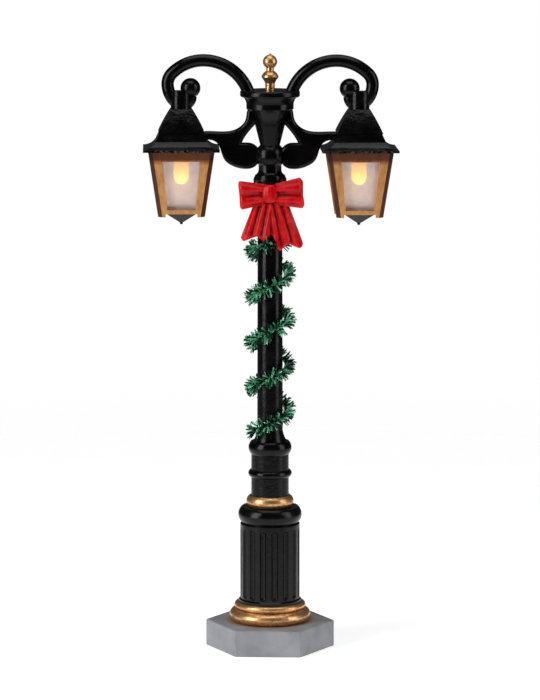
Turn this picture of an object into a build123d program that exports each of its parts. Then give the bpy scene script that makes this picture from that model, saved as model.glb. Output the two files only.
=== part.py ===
"""Miniature double-lantern street lamp post with a bow and a tinsel garland, in millimetres.

The origin is the centre of the plinth's underside, +Z is up and -Y is the front.
A tubular shaft carries everything.  Turned pieces are threaded over its lower tenon and
stand on a hexagonal plinth, and the head hub sits on its upper tenon.  Two scroll arms
spring from the cap of the hub's urn.  Each one curls down through the slotted neck of a
lantern roof, and a lower bracket braces that roof against the hub.
"""

import os
from math import acos, cos, degrees, pi, radians, sin, sqrt

from build123d import *

# ---------------------------------------------------------------- driving dimensions
# Plinth, with the flat sides of its hexagon to the front and the back
PLINTH_SIDES = 6
PLINTH_ACROSS_CORNERS = 26.0
PLINTH_HEIGHT = 5.3
PLINTH_WALL = 1.6
PLINTH_TOP_WALL = 1.3
PLINTH_RIM = 1.0
PLINTH_EDGE_ROUND = 0.3
COVER_THICKNESS = 0.8
COVER_CLEARANCE = 0.1

# Lead outlet in the rear wall of the plinth
OUTLET_RADIUS = 1.25
OUTLET_FLANGE_WIDTH = 0.3
OUTLET_FLANGE_THICKNESS = 0.5
LEAD_RADIUS = 0.8
LEAD_CLEARANCE = 0.05

# Gold base ring: a large bead with a smaller one on it
BASE_BEAD_RADIUS = 8.2
BASE_BEAD_HEIGHT = 2.5
SECOND_BEAD_RADIUS = 7.2
SECOND_BEAD_HEIGHT = 1.4
SPIGOT_RADIUS = 4.2
SPIGOT_DEPTH = 1.1
SPIGOT_CLEARANCE = 0.05

# Fluted drum
DRUM_RADIUS = 6.0
DRUM_HEIGHT = 16.0
DRUM_WALL = 1.3
DRUM_TOP_WALL = 2.2
DRUM_LIP_OVERHANG = 0.3
DRUM_LIP_HEIGHT = 0.5
DRUM_GROOVE = 0.3
DRUM_BEAD_OVERHANG = 0.4
DRUM_BEAD_HEIGHT = 3.5
FLUTE_COUNT = 16
FLUTE_RADIUS = 0.68
FLUTE_DEPTH = 0.5
FLUTE_FOOT_GAP = 0.8
FLUTE_TOP_GAP = 1.5

# Gold ring on the drum, and the collar sleeve above it
DRUM_RING_RADIUS = 4.75
DRUM_RING_HEIGHT = 2.3
DRUM_RING_BULGE = 0.65
SLEEVE_RADIUS = 3.78
SLEEVE_LOWER_HEIGHT = 3.7
SLEEVE_THIN_RING_HEIGHT = 1.6
SLEEVE_THIN_RING_OVERHANG = 0.6
SLEEVE_MIDDLE_HEIGHT = 3.1
SLEEVE_TOP_RING_HEIGHT = 2.7
SLEEVE_TOP_RING_OVERHANG = 0.55
SLEEVE_CONE_HEIGHT = 2.2
SLEEVE_CONE_FOOT_INSET = 0.45
SLEEVE_CONE_HOLLOW = 0.12

# Shaft: a tapered tube with a tenon at each end
SHAFT_FOOT_RADIUS = 2.57
SHAFT_TOP_RADIUS = 2.45
SHAFT_LENGTH = 50.0
SHAFT_BORE_RADIUS = 1.3
LOWER_SHOULDER = 0.47
UPPER_SHOULDER = 0.55
UPPER_TENON_LENGTH = 4.2
TENON_CLEARANCE = 0.05

# Scalloped collar under the head
COLLAR_RADIUS = 3.3
COLLAR_HEIGHT = 1.5
COLLAR_EDGE = 0.7
SCALLOP_COUNT = 12
SCALLOP_RADIUS = 0.5
SCALLOP_OUTSET = 0.1

# Head hub: flared foot, neck, ball, upper column and urn
HUB_FOOT_RADIUS = 2.95
HUB_FOOT_HEIGHT = 1.1
HUB_FOOT_SWEEP_OUT = 0.15
HUB_FOOT_SWEEP_RISE = 0.5
NECK_RADIUS = 2.28
NECK_TO_BALL = 3.8
BALL_RADIUS = 2.93
COLUMN_FOOT_RADIUS = 1.97
COLUMN_TOP_RADIUS = 2.95
BALL_TO_URN = 6.1
URN_WAIST_RADIUS = 4.7
URN_FLARE_HEIGHT = 3.3
URN_FLARE_SWEEP_OUT = 0.63
URN_FLARE_SWEEP_RISE = 1.98
URN_BAND_HEIGHT = 1.0
URN_BELL_HEIGHT = 1.3
URN_BELL_HOLLOW = 0.1
URN_MOUTH_RADIUS = 5.3
URN_WALL = 0.8
URN_CAVITY_FOOT_DROP = 0.5
URN_CAVITY_TAPER = 0.25

# Urn cap
CAP_RADIUS = 5.95
CAP_THICKNESS = 1.4
CAP_EDGE_ROUND = 0.45
CAP_BOSS_DEPTH = 0.6
CAP_BOSS_CLEARANCE = 0.05

# Finial
FINIAL_STUB_RADIUS = 0.95
FINIAL_STUB_HEIGHT = 1.35
FINIAL_BELL_RADIUS = 1.72
FINIAL_BELL_HEIGHT = 2.45
FINIAL_BELL_SWEEP_OUT = 0.32
FINIAL_DOME_SWEEP_OUT = 0.4
FINIAL_DOME_SWEEP_RISE = 0.15
FINIAL_NECK_RADIUS = 0.75
FINIAL_NECK_HEIGHT = 0.6
FINIAL_BALL_RADIUS = 1.42
FINIAL_TIP_RADIUS = 0.3
FINIAL_PEG_RADIUS = 0.7
FINIAL_PEG_LENGTH = 1.2
FINIAL_PEG_CLEARANCE = 0.03

# Scroll arms: tangent arcs from the urn cap out and round to the curl at the lantern
ARM_RADIUS = 1.25
ARM_BORE_RADIUS = 0.62
ARM_ROOT_X = 4.3
ARM_ROOT_ANGLE = 70.0
ARM_ROOT_LENGTH = 0.58
ARM_ROOT_BELOW_CAP_TOP = 0.4
ARM_HOLE_CLEARANCE = 0.05
ARM_RISE_RADIUS = 9.5
ARM_CROWN_RADIUS = 8.88
ARM_SHOULDER_RADIUS = 2.97
ARM_FALL_RADIUS = 4.76
ARM_CURL_RADIUS = 2.34
ARM_TIP_RADIUS = 1.5
ARM_KNOB_RADIUS = 2.0
ARM_KNOB_RISE = 1.75
HALF_TURN = 180.0
QUARTER_TURN = 90.0
HALF_QUARTER_TURN = 45.0

# Lower brackets
BRACKET_THICKNESS = 2.5
BRACKET_EDGE_ROUND = 0.75
BRACE_GRIP = 0.3
VOLUTE_RADIUS = 2.6
VOLUTE_OFFSET = 4.5
VOLUTE_NOTCH = 1.1
STRAND_ROOT_INSET = 0.9
STRAND_ROOT_RISE = 0.6
STRAND_SIDE_GAP = 0.1
STRAND_SIDE_TOP_DROP = 0.7
STRAND_SIDE_FOOT_DROP = 2.0
STRAND_TURN_OUT = 0.9
STRAND_SWEEP_OUT = 2.4
STRAND_SWEEP_RISE = 0.35
STRAND_LEVEL_OUT = 4.6
STRAND_FOOT_OUT = 0.15
STRAND_FOOT_RISE = 1.65
STRAND_HUB_RISE = 0.15
STRAND_END_INSET = 0.6
STRAND_END_RISE = 0.8
BELLY_EAVE_GAP = 0.35
BELLY_EAVE_DROP = 0.55
BELLY_SIDE_GAP = 1.0
BELLY_SIDE_DROP = 0.7
BELLY_TURN_OUT = 3.1
BELLY_TURN_RISE = 0.65

# Lanterns
LANTERN_YAW = 4.0
LANTERN_NECK_RADIUS = 2.03
LANTERN_NECK_HEIGHT = 3.5
LANTERN_NECK_BORE_RADIUS = 1.25
CURL_SINK = 0.8
ROOF_TOP_HALF = 2.1
ROOF_TIER_INSET = 2.1
ROOF_TIER_HEIGHT = 4.6
ROOF_TIER_BULGE = 0.12
ROOF_STEP = 0.16
ROOF_SKIRT_INSET = 1.55
ROOF_SKIRT_HEIGHT = 1.7
ROOF_EAVE_OVERHANG = 0.95
ROOF_EAVE_HEIGHT = 1.5
ROOF_EAVE_SWEEP = 0.25
ROOF_LIP_HEIGHT = 0.4
ROOF_WALL = 1.0
ROOF_SEAT_DEPTH = 0.4
ROOF_SEAT_CLEARANCE = 0.05
FRAME_TOP_HALF = 6.65
FRAME_FOOT_HALF = 4.65
FRAME_HEIGHT = 13.5
FRAME_WALL = 1.0
FRAME_CORNER_CHAMFER = 0.85
FRAME_TOP_RAIL = 2.3
FRAME_FOOT_RAIL = 0.85
FRAME_POST_TOP_WIDTH = 1.65
FRAME_POST_FOOT_WIDTH = 1.15
FRAME_TOE_HEIGHT = 0.6
FRAME_TOE_WIDTH = 1.5
GLAZING_THICKNESS = 0.4
GLAZING_CLEARANCE = 0.05
FLOOR_THICKNESS = 0.6
FLOOR_CLEARANCE = 0.05
PENDANT_HALF = 3.15
PENDANT_DROP = 2.2
PENDANT_TIP_RADIUS = 0.32

# Light-emitting diode, a standard 3 mm one, and its holder
LED_RADIUS = 1.5
LED_BODY_LENGTH = 5.3
LED_FLANGE_OVERHANG = 0.25
LED_FLANGE_HEIGHT = 0.9
LED_LEG_SIDE = 0.45
LED_LEG_PITCH = 2.54
LED_LEG_LENGTH = 4.6
LEG_HOLE_CLEARANCE = 0.05
HOLDER_THICKNESS = 1.2
HOLDER_ABOVE_WINDOW = 0.3

# Internal wires, two to each diode, and the sleeves over their joints
WIRE_RADIUS = 0.225
WIRE_SPACING = 0.54
WIRE_BUNDLE_OFFSET = 0.35
WIRE_DROP_RADIUS = 4.29
WIRE_BEND_RADIUS = 3.0
WIRE_CAP_RUN = 1.4
WIRE_FAN_RADIUS = 1.5
WIRE_FLOOR_RADIUS = 1.4
WIRE_LEG_RUN = 1.0
WIRE_DROP_RUN = 0.6
WIRE_URN_DROP = 0.7
WIRE_SPREAD_RUN = 2.6
WIRE_SPREAD_RADIUS = 0.8
WIRE_SPLICE_RUN = 0.6
SPLICE_PITCH = 3.0
SPLICE_RADIUS = 0.62
SPLICE_LENGTH = 3.4
SPLICE_START_Y = 4.6
SPLICE_WIRE_SPACING = 0.5

# Bow
BOW_HALF_WIDTH = 6.5
BOW_LOOP_TOP = 2.8
BOW_LOOP_FOOT = 3.2
BOW_LOOP_CORNER = 0.6
BOW_THROAT_TOP = 1.9
BOW_THROAT_FOOT = 2.35
BOW_LOOP_THICKNESS = 2.3
BOW_TAIL_THICKNESS = 1.5
BOW_BEVEL = 0.4
BOW_TAIL_LENGTH = 10.8
BOW_TAIL_ROOT_HALF = 3.3
BOW_TAIL_ROOT_DROP = 2.0
BOW_TAIL_HALF_WIDTH = 6.2
BOW_TAIL_SIDE_LENGTH = 9.5
BOW_TAIL_CORNER = 0.7
BOW_TAIL_NOTCH_X = 3.6
BOW_TAIL_NOTCH_DROP = 9.3
BOW_TAIL_POINT_X = 2.0
BOW_TAIL_SPLIT_DROP = 7.9
BOW_KNOT_WIDTH = 3.2
BOW_KNOT_HEIGHT = 3.7
BOW_KNOT_DEPTH = 2.9
BOW_KNOT_BEVEL = 0.8
BOW_CENTRE_BELOW_COLLAR = 1.75
BOW_GAP = 0.03
COLLAR_CLEARANCE = 0.05

# Garland
GARLAND_PITCH = 9.2
GARLAND_FOOT_DROP = 0.34
GARLAND_TOP_BELOW_BOW = 11.57
GARLAND_RADIAL_HALF = 1.0
GARLAND_AXIAL_HALF = 1.7
GARLAND_GAP = 0.06
GARLAND_START_ANGLE = 190.0
GARLAND_WIRE_RADIUS = 0.22
GARLAND_WIRE_INSET = 0.55
GARLAND_WIRE_CLEARANCE = 0.03

# ---------------------------------------------------------------- levels and derived sizes
BASE_RING_Z = PLINTH_HEIGHT
SPIGOT_Z = BASE_RING_Z - SPIGOT_DEPTH
DRUM_Z = BASE_RING_Z + BASE_BEAD_HEIGHT + SECOND_BEAD_HEIGHT
DRUM_BEAD_Z = DRUM_Z + DRUM_HEIGHT
DRUM_RING_Z = DRUM_BEAD_Z + DRUM_BEAD_HEIGHT
SLEEVE_Z = DRUM_RING_Z + DRUM_RING_HEIGHT
THIN_RING_Z = SLEEVE_Z + SLEEVE_LOWER_HEIGHT
MIDDLE_Z = THIN_RING_Z + SLEEVE_THIN_RING_HEIGHT
TOP_RING_Z = MIDDLE_Z + SLEEVE_MIDDLE_HEIGHT
CONE_Z = TOP_RING_Z + SLEEVE_TOP_RING_HEIGHT
SHAFT_Z = CONE_Z + SLEEVE_CONE_HEIGHT
COLLAR_Z = SHAFT_Z + SHAFT_LENGTH
NECK_Z = COLLAR_Z + COLLAR_HEIGHT
TENON_TOP_Z = COLLAR_Z + UPPER_TENON_LENGTH
BALL_Z = NECK_Z + NECK_TO_BALL
URN_Z = BALL_Z + BALL_TO_URN
URN_BAND_Z = URN_Z + URN_FLARE_HEIGHT
URN_BELL_Z = URN_BAND_Z + URN_BAND_HEIGHT
CAP_Z = URN_BELL_Z + URN_BELL_HEIGHT
FINIAL_Z = CAP_Z + CAP_THICKNESS
ARM_ROOT_Z = FINIAL_Z - ARM_ROOT_BELOW_CAP_TOP

LOWER_TENON_RADIUS = SHAFT_FOOT_RADIUS - LOWER_SHOULDER
UPPER_TENON_RADIUS = SHAFT_TOP_RADIUS - UPPER_SHOULDER
TENON_BORE_RADIUS = LOWER_TENON_RADIUS + TENON_CLEARANCE
PLINTH_FLATS = PLINTH_ACROSS_CORNERS * cos(pi / PLINTH_SIDES)
PLINTH_CEILING_Z = PLINTH_HEIGHT - PLINTH_TOP_WALL
OUTLET_Z = (COVER_THICKNESS + PLINTH_CEILING_Z) / 2
GARLAND_RADIUS = SHAFT_FOOT_RADIUS + GARLAND_GAP + GARLAND_RADIAL_HALF
ROOF_TIER_HALF = FRAME_TOP_HALF - ROOF_TIER_INSET
ROOF_SKIRT_HALF = FRAME_TOP_HALF - ROOF_SKIRT_INSET
ROOF_EAVE_HALF = FRAME_TOP_HALF + ROOF_EAVE_OVERHANG
LED_FLANGE_RADIUS = LED_RADIUS + LED_FLANGE_OVERHANG
SIDES = {"left": -1, "right": 1}

os.makedirs("parts", exist_ok=True)


def save(piece, node):
    """Label a finished piece and write it to its own STEP file."""
    piece.part.label = node
    export_step(piece.part, f"parts/{node}.step")


# ---------------------------------------------------------------- scroll and wire lines
# Drawn in a flat (outward, up) frame, and stood up on the XZ plane where they are used.
root_heading = Vector(cos(radians(ARM_ROOT_ANGLE)), sin(radians(ARM_ROOT_ANGLE)))
root_point = Vector(ARM_ROOT_X, ARM_ROOT_Z)
root_end = root_point - root_heading * ARM_ROOT_LENGTH

with BuildLine() as reach_line:
    root = Line(root_end, root_point)
    rise = JernArc(root @ 1, root % 1, ARM_RISE_RADIUS, -ARM_ROOT_ANGLE)
    crown = JernArc(rise @ 1, rise % 1, ARM_CROWN_RADIUS, -HALF_QUARTER_TURN)
    shoulder = JernArc(crown @ 1, crown % 1, ARM_SHOULDER_RADIUS, -HALF_QUARTER_TURN)
    fall = JernArc(shoulder @ 1, shoulder % 1, ARM_FALL_RADIUS, -HALF_QUARTER_TURN)

with BuildLine() as arm_line:
    add(reach_line.line)
    curl = JernArc(fall @ 1, fall % 1, ARM_CURL_RADIUS, -HALF_QUARTER_TURN)
    tip = JernArc(curl @ 1, curl % 1, ARM_TIP_RADIUS, -QUARTER_TURN)

with BuildLine() as wire_line:
    add(reach_line.line)
    drop = JernArc(fall @ 1, fall % 1, WIRE_DROP_RADIUS, HALF_QUARTER_TURN)

LANTERN_X = (drop @ 1).X
CURL_FOOT_Z = (curl @ 1).Y
LANTERN_TOP_Z = CURL_FOOT_Z - CURL_SINK
KNOB_X = (tip @ 1).X
KNOB_Z = (tip @ 1).Y + ARM_KNOB_RISE

ROOF_TIER_Z = LANTERN_TOP_Z - ROOF_TIER_HEIGHT
ROOF_SKIRT_Z = ROOF_TIER_Z - ROOF_SKIRT_HEIGHT
ROOF_EAVE_Z = ROOF_SKIRT_Z - ROOF_EAVE_HEIGHT
FRAME_TOP_Z = ROOF_EAVE_Z - ROOF_LIP_HEIGHT + ROOF_SEAT_DEPTH
FRAME_FOOT_Z = FRAME_TOP_Z - FRAME_HEIGHT
FLOOR_Z = FRAME_FOOT_Z + FRAME_TOE_HEIGHT
HOLDER_Z = FRAME_TOP_Z - FRAME_TOP_RAIL + HOLDER_ABOVE_WINDOW


def frame_half(z):
    """Half width of the lantern frame's outside at a height."""
    share = (z - FRAME_FOOT_Z) / FRAME_HEIGHT
    return FRAME_FOOT_HALF + (FRAME_TOP_HALF - FRAME_FOOT_HALF) * share


def shaft_radius(z):
    """Radius of the tapered shaft at a height."""
    share = (z - SHAFT_Z) / SHAFT_LENGTH
    return SHAFT_FOOT_RADIUS + (SHAFT_TOP_RADIUS - SHAFT_FOOT_RADIUS) * share


def upright(x, turn):
    """A standing plane through the vertical axis at x, turned about that axis."""
    along = radians(turn)
    return Plane(
        origin=(x, 0, 0),
        x_dir=(cos(along), sin(along), 0),
        z_dir=(sin(along), -cos(along), 0),
    )


def level(x, z, turn):
    """A level plane centred on the vertical axis at x, turned about that axis."""
    along = radians(turn)
    return Plane(origin=(x, 0, z), x_dir=(cos(along), sin(along), 0), z_dir=(0, 0, 1))


# ---------------------------------------------------------------- plinth
with BuildPart() as plinth:
    with BuildSketch():
        RegularPolygon(PLINTH_ACROSS_CORNERS / 2, PLINTH_SIDES)
    extrude(amount=PLINTH_HEIGHT)
    fillet(plinth.edges().filter_by(Axis.Z), PLINTH_EDGE_ROUND)
    fillet(plinth.faces().sort_by(Axis.Z)[-1].edges(), PLINTH_EDGE_ROUND)
    with BuildSketch():
        RegularPolygon(PLINTH_FLATS / 2 - PLINTH_WALL, PLINTH_SIDES, major_radius=False)
    extrude(amount=PLINTH_CEILING_Z, mode=Mode.SUBTRACT)
    with BuildSketch():
        RegularPolygon(PLINTH_FLATS / 2 - PLINTH_RIM, PLINTH_SIDES, major_radius=False)
    extrude(amount=COVER_THICKNESS, mode=Mode.SUBTRACT)
    with BuildSketch(Plane.XY.offset(PLINTH_CEILING_Z)):
        Circle(SPIGOT_RADIUS + SPIGOT_CLEARANCE)
    extrude(amount=PLINTH_TOP_WALL, mode=Mode.SUBTRACT)
    with BuildSketch(Plane.XZ.offset(-PLINTH_FLATS / 2)):
        with Locations((0, OUTLET_Z)):
            Circle(OUTLET_RADIUS)
    extrude(amount=PLINTH_WALL, mode=Mode.SUBTRACT)
save(plinth, "plinth")

with BuildPart() as base_cover:
    with BuildSketch():
        RegularPolygon(
            PLINTH_FLATS / 2 - PLINTH_RIM - COVER_CLEARANCE,
            PLINTH_SIDES,
            major_radius=False,
        )
    extrude(amount=COVER_THICKNESS)
save(base_cover, "base_cover")

with BuildPart() as lead_grommet:
    with BuildSketch(Plane.XZ.offset(-PLINTH_FLATS / 2)):
        with Locations((0, OUTLET_Z)):
            Circle(OUTLET_RADIUS)
    extrude(amount=PLINTH_WALL)
    with BuildSketch(Plane.XZ.offset(PLINTH_WALL - PLINTH_FLATS / 2)):
        with Locations((0, OUTLET_Z)):
            Circle(OUTLET_RADIUS + OUTLET_FLANGE_WIDTH)
    extrude(amount=OUTLET_FLANGE_THICKNESS)
    with BuildSketch(Plane.XZ.offset(-PLINTH_FLATS / 2)):
        with Locations((0, OUTLET_Z)):
            Circle(LEAD_RADIUS + LEAD_CLEARANCE)
    extrude(amount=PLINTH_WALL + OUTLET_FLANGE_THICKNESS, mode=Mode.SUBTRACT)
save(lead_grommet, "lead_grommet")

# ---------------------------------------------------------------- pieces threaded on the shaft
with BuildPart() as base_ring:
    with BuildSketch(Plane.XZ):
        with BuildLine():
            second_z = BASE_RING_Z + BASE_BEAD_HEIGHT
            first_in = BASE_BEAD_RADIUS - BASE_BEAD_HEIGHT / 2
            second_in = SECOND_BEAD_RADIUS - SECOND_BEAD_HEIGHT / 2
            Polyline(
                (first_in, BASE_RING_Z),
                (SPIGOT_RADIUS, BASE_RING_Z),
                (SPIGOT_RADIUS, SPIGOT_Z),
                (TENON_BORE_RADIUS, SPIGOT_Z),
                (TENON_BORE_RADIUS, DRUM_Z),
                (second_in, DRUM_Z),
            )
            ThreePointArc(
                (second_in, DRUM_Z),
                (SECOND_BEAD_RADIUS, DRUM_Z - SECOND_BEAD_HEIGHT / 2),
                (second_in, second_z),
            )
            Line((second_in, second_z), (first_in, second_z))
            ThreePointArc(
                (first_in, second_z),
                (BASE_BEAD_RADIUS, second_z - BASE_BEAD_HEIGHT / 2),
                (first_in, BASE_RING_Z),
            )
        make_face()
    revolve(axis=Axis.Z)
save(base_ring, "base_ring")

with BuildPart() as fluted_drum:
    with BuildSketch(Plane.XZ):
        with BuildLine():
            lip = DRUM_RADIUS + DRUM_LIP_OVERHANG
            lip_top = DRUM_Z + DRUM_LIP_HEIGHT
            groove = DRUM_RADIUS - DRUM_GROOVE
            groove_z = DRUM_BEAD_Z + DRUM_GROOVE
            outline = Polyline(
                (TENON_BORE_RADIUS, DRUM_RING_Z),
                (TENON_BORE_RADIUS, DRUM_RING_Z - DRUM_TOP_WALL),
                (DRUM_RADIUS - DRUM_WALL, DRUM_RING_Z - DRUM_TOP_WALL),
                (DRUM_RADIUS - DRUM_WALL, DRUM_Z),
                (lip, DRUM_Z),
                (lip, lip_top),
                (DRUM_RADIUS, lip_top + DRUM_LIP_OVERHANG),
                (DRUM_RADIUS, DRUM_BEAD_Z),
                (groove, groove_z),
            )
            bead = ThreePointArc(
                (groove, groove_z),
                (DRUM_RADIUS + DRUM_BEAD_OVERHANG, (groove_z + DRUM_RING_Z) / 2),
                (groove, DRUM_RING_Z),
            )
            Line(bead @ 1, outline @ 0)
        make_face()
    revolve(axis=Axis.Z)
    flute_foot = lip_top + DRUM_LIP_OVERHANG + FLUTE_FOOT_GAP
    flute_top = DRUM_BEAD_Z - FLUTE_TOP_GAP
    flute_axis = DRUM_RADIUS + FLUTE_RADIUS - FLUTE_DEPTH
    with BuildSketch(Plane.XY.offset(flute_foot)):
        with PolarLocations(flute_axis, FLUTE_COUNT, start_angle=HALF_TURN / FLUTE_COUNT):
            Circle(FLUTE_RADIUS)
    extrude(amount=flute_top - flute_foot, mode=Mode.SUBTRACT)
    for flute_end in (flute_foot, flute_top):
        with Locations((0, 0, flute_end)):
            with PolarLocations(flute_axis, FLUTE_COUNT, start_angle=HALF_TURN / FLUTE_COUNT):
                Sphere(FLUTE_RADIUS, mode=Mode.SUBTRACT)
save(fluted_drum, "fluted_drum")

with BuildPart() as drum_ring:
    with BuildSketch(Plane.XZ):
        with BuildLine():
            ring_in = DRUM_RING_RADIUS - DRUM_RING_BULGE
            Polyline(
                (ring_in, DRUM_RING_Z),
                (TENON_BORE_RADIUS, DRUM_RING_Z),
                (TENON_BORE_RADIUS, SLEEVE_Z),
                (ring_in, SLEEVE_Z),
            )
            ThreePointArc(
                (ring_in, SLEEVE_Z),
                (DRUM_RING_RADIUS, (DRUM_RING_Z + SLEEVE_Z) / 2),
                (ring_in, DRUM_RING_Z),
            )
        make_face()
    revolve(axis=Axis.Z)
save(drum_ring, "drum_ring")

with BuildPart() as collar_sleeve:
    with BuildSketch(Plane.XZ):
        with BuildLine():
            cone_foot = SLEEVE_RADIUS - SLEEVE_CONE_FOOT_INSET
            foot = Polyline(
                (SHAFT_FOOT_RADIUS, SHAFT_Z),
                (TENON_BORE_RADIUS, SHAFT_Z),
                (TENON_BORE_RADIUS, SLEEVE_Z),
                (SLEEVE_RADIUS, SLEEVE_Z),
                (SLEEVE_RADIUS, THIN_RING_Z),
            )
            thin_ring = ThreePointArc(
                foot @ 1,
                (SLEEVE_RADIUS + SLEEVE_THIN_RING_OVERHANG, (THIN_RING_Z + MIDDLE_Z) / 2),
                (SLEEVE_RADIUS, MIDDLE_Z),
            )
            middle = Line(thin_ring @ 1, (SLEEVE_RADIUS, TOP_RING_Z))
            top_ring = ThreePointArc(
                middle @ 1,
                (SLEEVE_RADIUS + SLEEVE_TOP_RING_OVERHANG, (TOP_RING_Z + CONE_Z) / 2),
                (SLEEVE_RADIUS, CONE_Z),
            )
            ledge = Line(top_ring @ 1, (cone_foot, CONE_Z))
            ThreePointArc(
                ledge @ 1,
                (
                    (cone_foot + SHAFT_FOOT_RADIUS) / 2 - SLEEVE_CONE_HOLLOW,
                    (CONE_Z + SHAFT_Z) / 2,
                ),
                foot @ 0,
            )
        make_face()
    revolve(axis=Axis.Z)
save(collar_sleeve, "collar_sleeve")

with BuildPart() as shaft:
    with BuildSketch(Plane.XZ):
        Polygon(
            (SHAFT_BORE_RADIUS, SPIGOT_Z),
            (LOWER_TENON_RADIUS, SPIGOT_Z),
            (LOWER_TENON_RADIUS, SHAFT_Z),
            (SHAFT_FOOT_RADIUS, SHAFT_Z),
            (SHAFT_TOP_RADIUS, COLLAR_Z),
            (UPPER_TENON_RADIUS, COLLAR_Z),
            (UPPER_TENON_RADIUS, TENON_TOP_Z),
            (SHAFT_BORE_RADIUS, TENON_TOP_Z),
            align=None,
        )
    revolve(axis=Axis.Z)
save(shaft, "shaft")

with BuildPart() as neck_collar:
    with BuildSketch(Plane.XZ):
        with BuildLine():
            skirt = Polyline(
                (HUB_FOOT_RADIUS, NECK_Z),
                (UPPER_TENON_RADIUS + TENON_CLEARANCE, NECK_Z),
                (UPPER_TENON_RADIUS + TENON_CLEARANCE, COLLAR_Z),
                (COLLAR_RADIUS, COLLAR_Z),
                (COLLAR_RADIUS, COLLAR_Z + COLLAR_EDGE),
            )
            Line(skirt @ 1, skirt @ 0)
        make_face()
    revolve(axis=Axis.Z)
    with Locations((0, 0, COLLAR_Z)):
        with PolarLocations(COLLAR_RADIUS + SCALLOP_OUTSET, SCALLOP_COUNT):
            Sphere(SCALLOP_RADIUS, mode=Mode.SUBTRACT)
save(neck_collar, "neck_collar")

# ---------------------------------------------------------------- head
NECK_MEETS_BALL = sqrt(BALL_RADIUS**2 - NECK_RADIUS**2)


def ball_arc(centre_z, radius, radius_below, radius_above):
    """The side of a ball on the axis, from the stem below it to the stem above it."""
    start = -degrees(acos(radius_below / radius))
    end = degrees(acos(radius_above / radius))
    return CenterArc((0, centre_z), radius, start, end - start)


def hub_outline():
    """The head hub's outside, drawn upwards from its foot."""
    neck_foot_z = NECK_Z + HUB_FOOT_HEIGHT
    foot = ThreePointArc(
        (HUB_FOOT_RADIUS, NECK_Z),
        (NECK_RADIUS + HUB_FOOT_SWEEP_OUT, NECK_Z + HUB_FOOT_SWEEP_RISE),
        (NECK_RADIUS, neck_foot_z),
    )
    Line(foot @ 1, (NECK_RADIUS, BALL_Z - NECK_MEETS_BALL))
    ball = ball_arc(BALL_Z, BALL_RADIUS, NECK_RADIUS, COLUMN_FOOT_RADIUS)
    column = Line(ball @ 1, (COLUMN_TOP_RADIUS, URN_Z))
    flare = ThreePointArc(
        column @ 1,
        (COLUMN_TOP_RADIUS + URN_FLARE_SWEEP_OUT, URN_Z + URN_FLARE_SWEEP_RISE),
        (URN_WAIST_RADIUS, URN_BAND_Z),
    )
    band = Line(flare @ 1, (URN_WAIST_RADIUS, URN_BELL_Z))
    ThreePointArc(
        band @ 1,
        ((URN_WAIST_RADIUS + URN_MOUTH_RADIUS) / 2 - URN_BELL_HOLLOW, (URN_BELL_Z + CAP_Z) / 2),
        (URN_MOUTH_RADIUS, CAP_Z),
    )


BOSS_RADIUS = URN_MOUTH_RADIUS - URN_WALL

with BuildPart() as hub_envelope:
    with BuildSketch(Plane.XZ):
        with BuildLine():
            hub_outline()
            Polyline(
                (URN_MOUTH_RADIUS, CAP_Z),
                (0, CAP_Z),
                (0, NECK_Z),
                (HUB_FOOT_RADIUS, NECK_Z),
            )
        make_face()
    revolve(axis=Axis.Z)

with BuildPart() as head_hub:
    add(hub_envelope.part)
    with BuildSketch(Plane.XZ):
        Polygon(
            (0, NECK_Z),
            (UPPER_TENON_RADIUS + TENON_CLEARANCE, NECK_Z),
            (UPPER_TENON_RADIUS + TENON_CLEARANCE, TENON_TOP_Z),
            (SHAFT_BORE_RADIUS, TENON_TOP_Z),
            (SHAFT_BORE_RADIUS, URN_Z - URN_CAVITY_FOOT_DROP),
            (URN_WAIST_RADIUS - URN_WALL - URN_CAVITY_TAPER, URN_BAND_Z),
            (BOSS_RADIUS, URN_BELL_Z),
            (BOSS_RADIUS, CAP_Z),
            (0, CAP_Z),
            align=None,
        )
    revolve(axis=Axis.Z, mode=Mode.SUBTRACT)
save(head_hub, "head_hub")

with BuildPart() as arm_root_cutters:
    for sign in SIDES.values():
        heading = Vector(sign * root_heading.X, 0, root_heading.Y)
        foot_point = Vector(sign * root_end.X, 0, root_end.Y)
        with BuildSketch(Plane(origin=foot_point, z_dir=heading)):
            Circle(ARM_RADIUS + ARM_HOLE_CLEARANCE)
        extrude(amount=CAP_THICKNESS)
        with BuildSketch(Plane(origin=foot_point, z_dir=heading)):
            Circle(ARM_BORE_RADIUS)
        extrude(amount=-CAP_THICKNESS)

with BuildPart() as urn_cap:
    with BuildSketch(Plane.XY.offset(CAP_Z)):
        Circle(CAP_RADIUS)
    extrude(amount=CAP_THICKNESS)
    fillet(urn_cap.edges(), CAP_EDGE_ROUND)
    with BuildSketch(Plane.XY.offset(CAP_Z - CAP_BOSS_DEPTH)):
        Circle(BOSS_RADIUS - CAP_BOSS_CLEARANCE)
    extrude(amount=CAP_BOSS_DEPTH)
    add(arm_root_cutters.part, mode=Mode.SUBTRACT)
    with BuildSketch(Plane.XY.offset(FINIAL_Z)):
        Circle(FINIAL_PEG_RADIUS + FINIAL_PEG_CLEARANCE)
    extrude(amount=-CAP_THICKNESS, mode=Mode.SUBTRACT)
save(urn_cap, "urn_cap")

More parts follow.
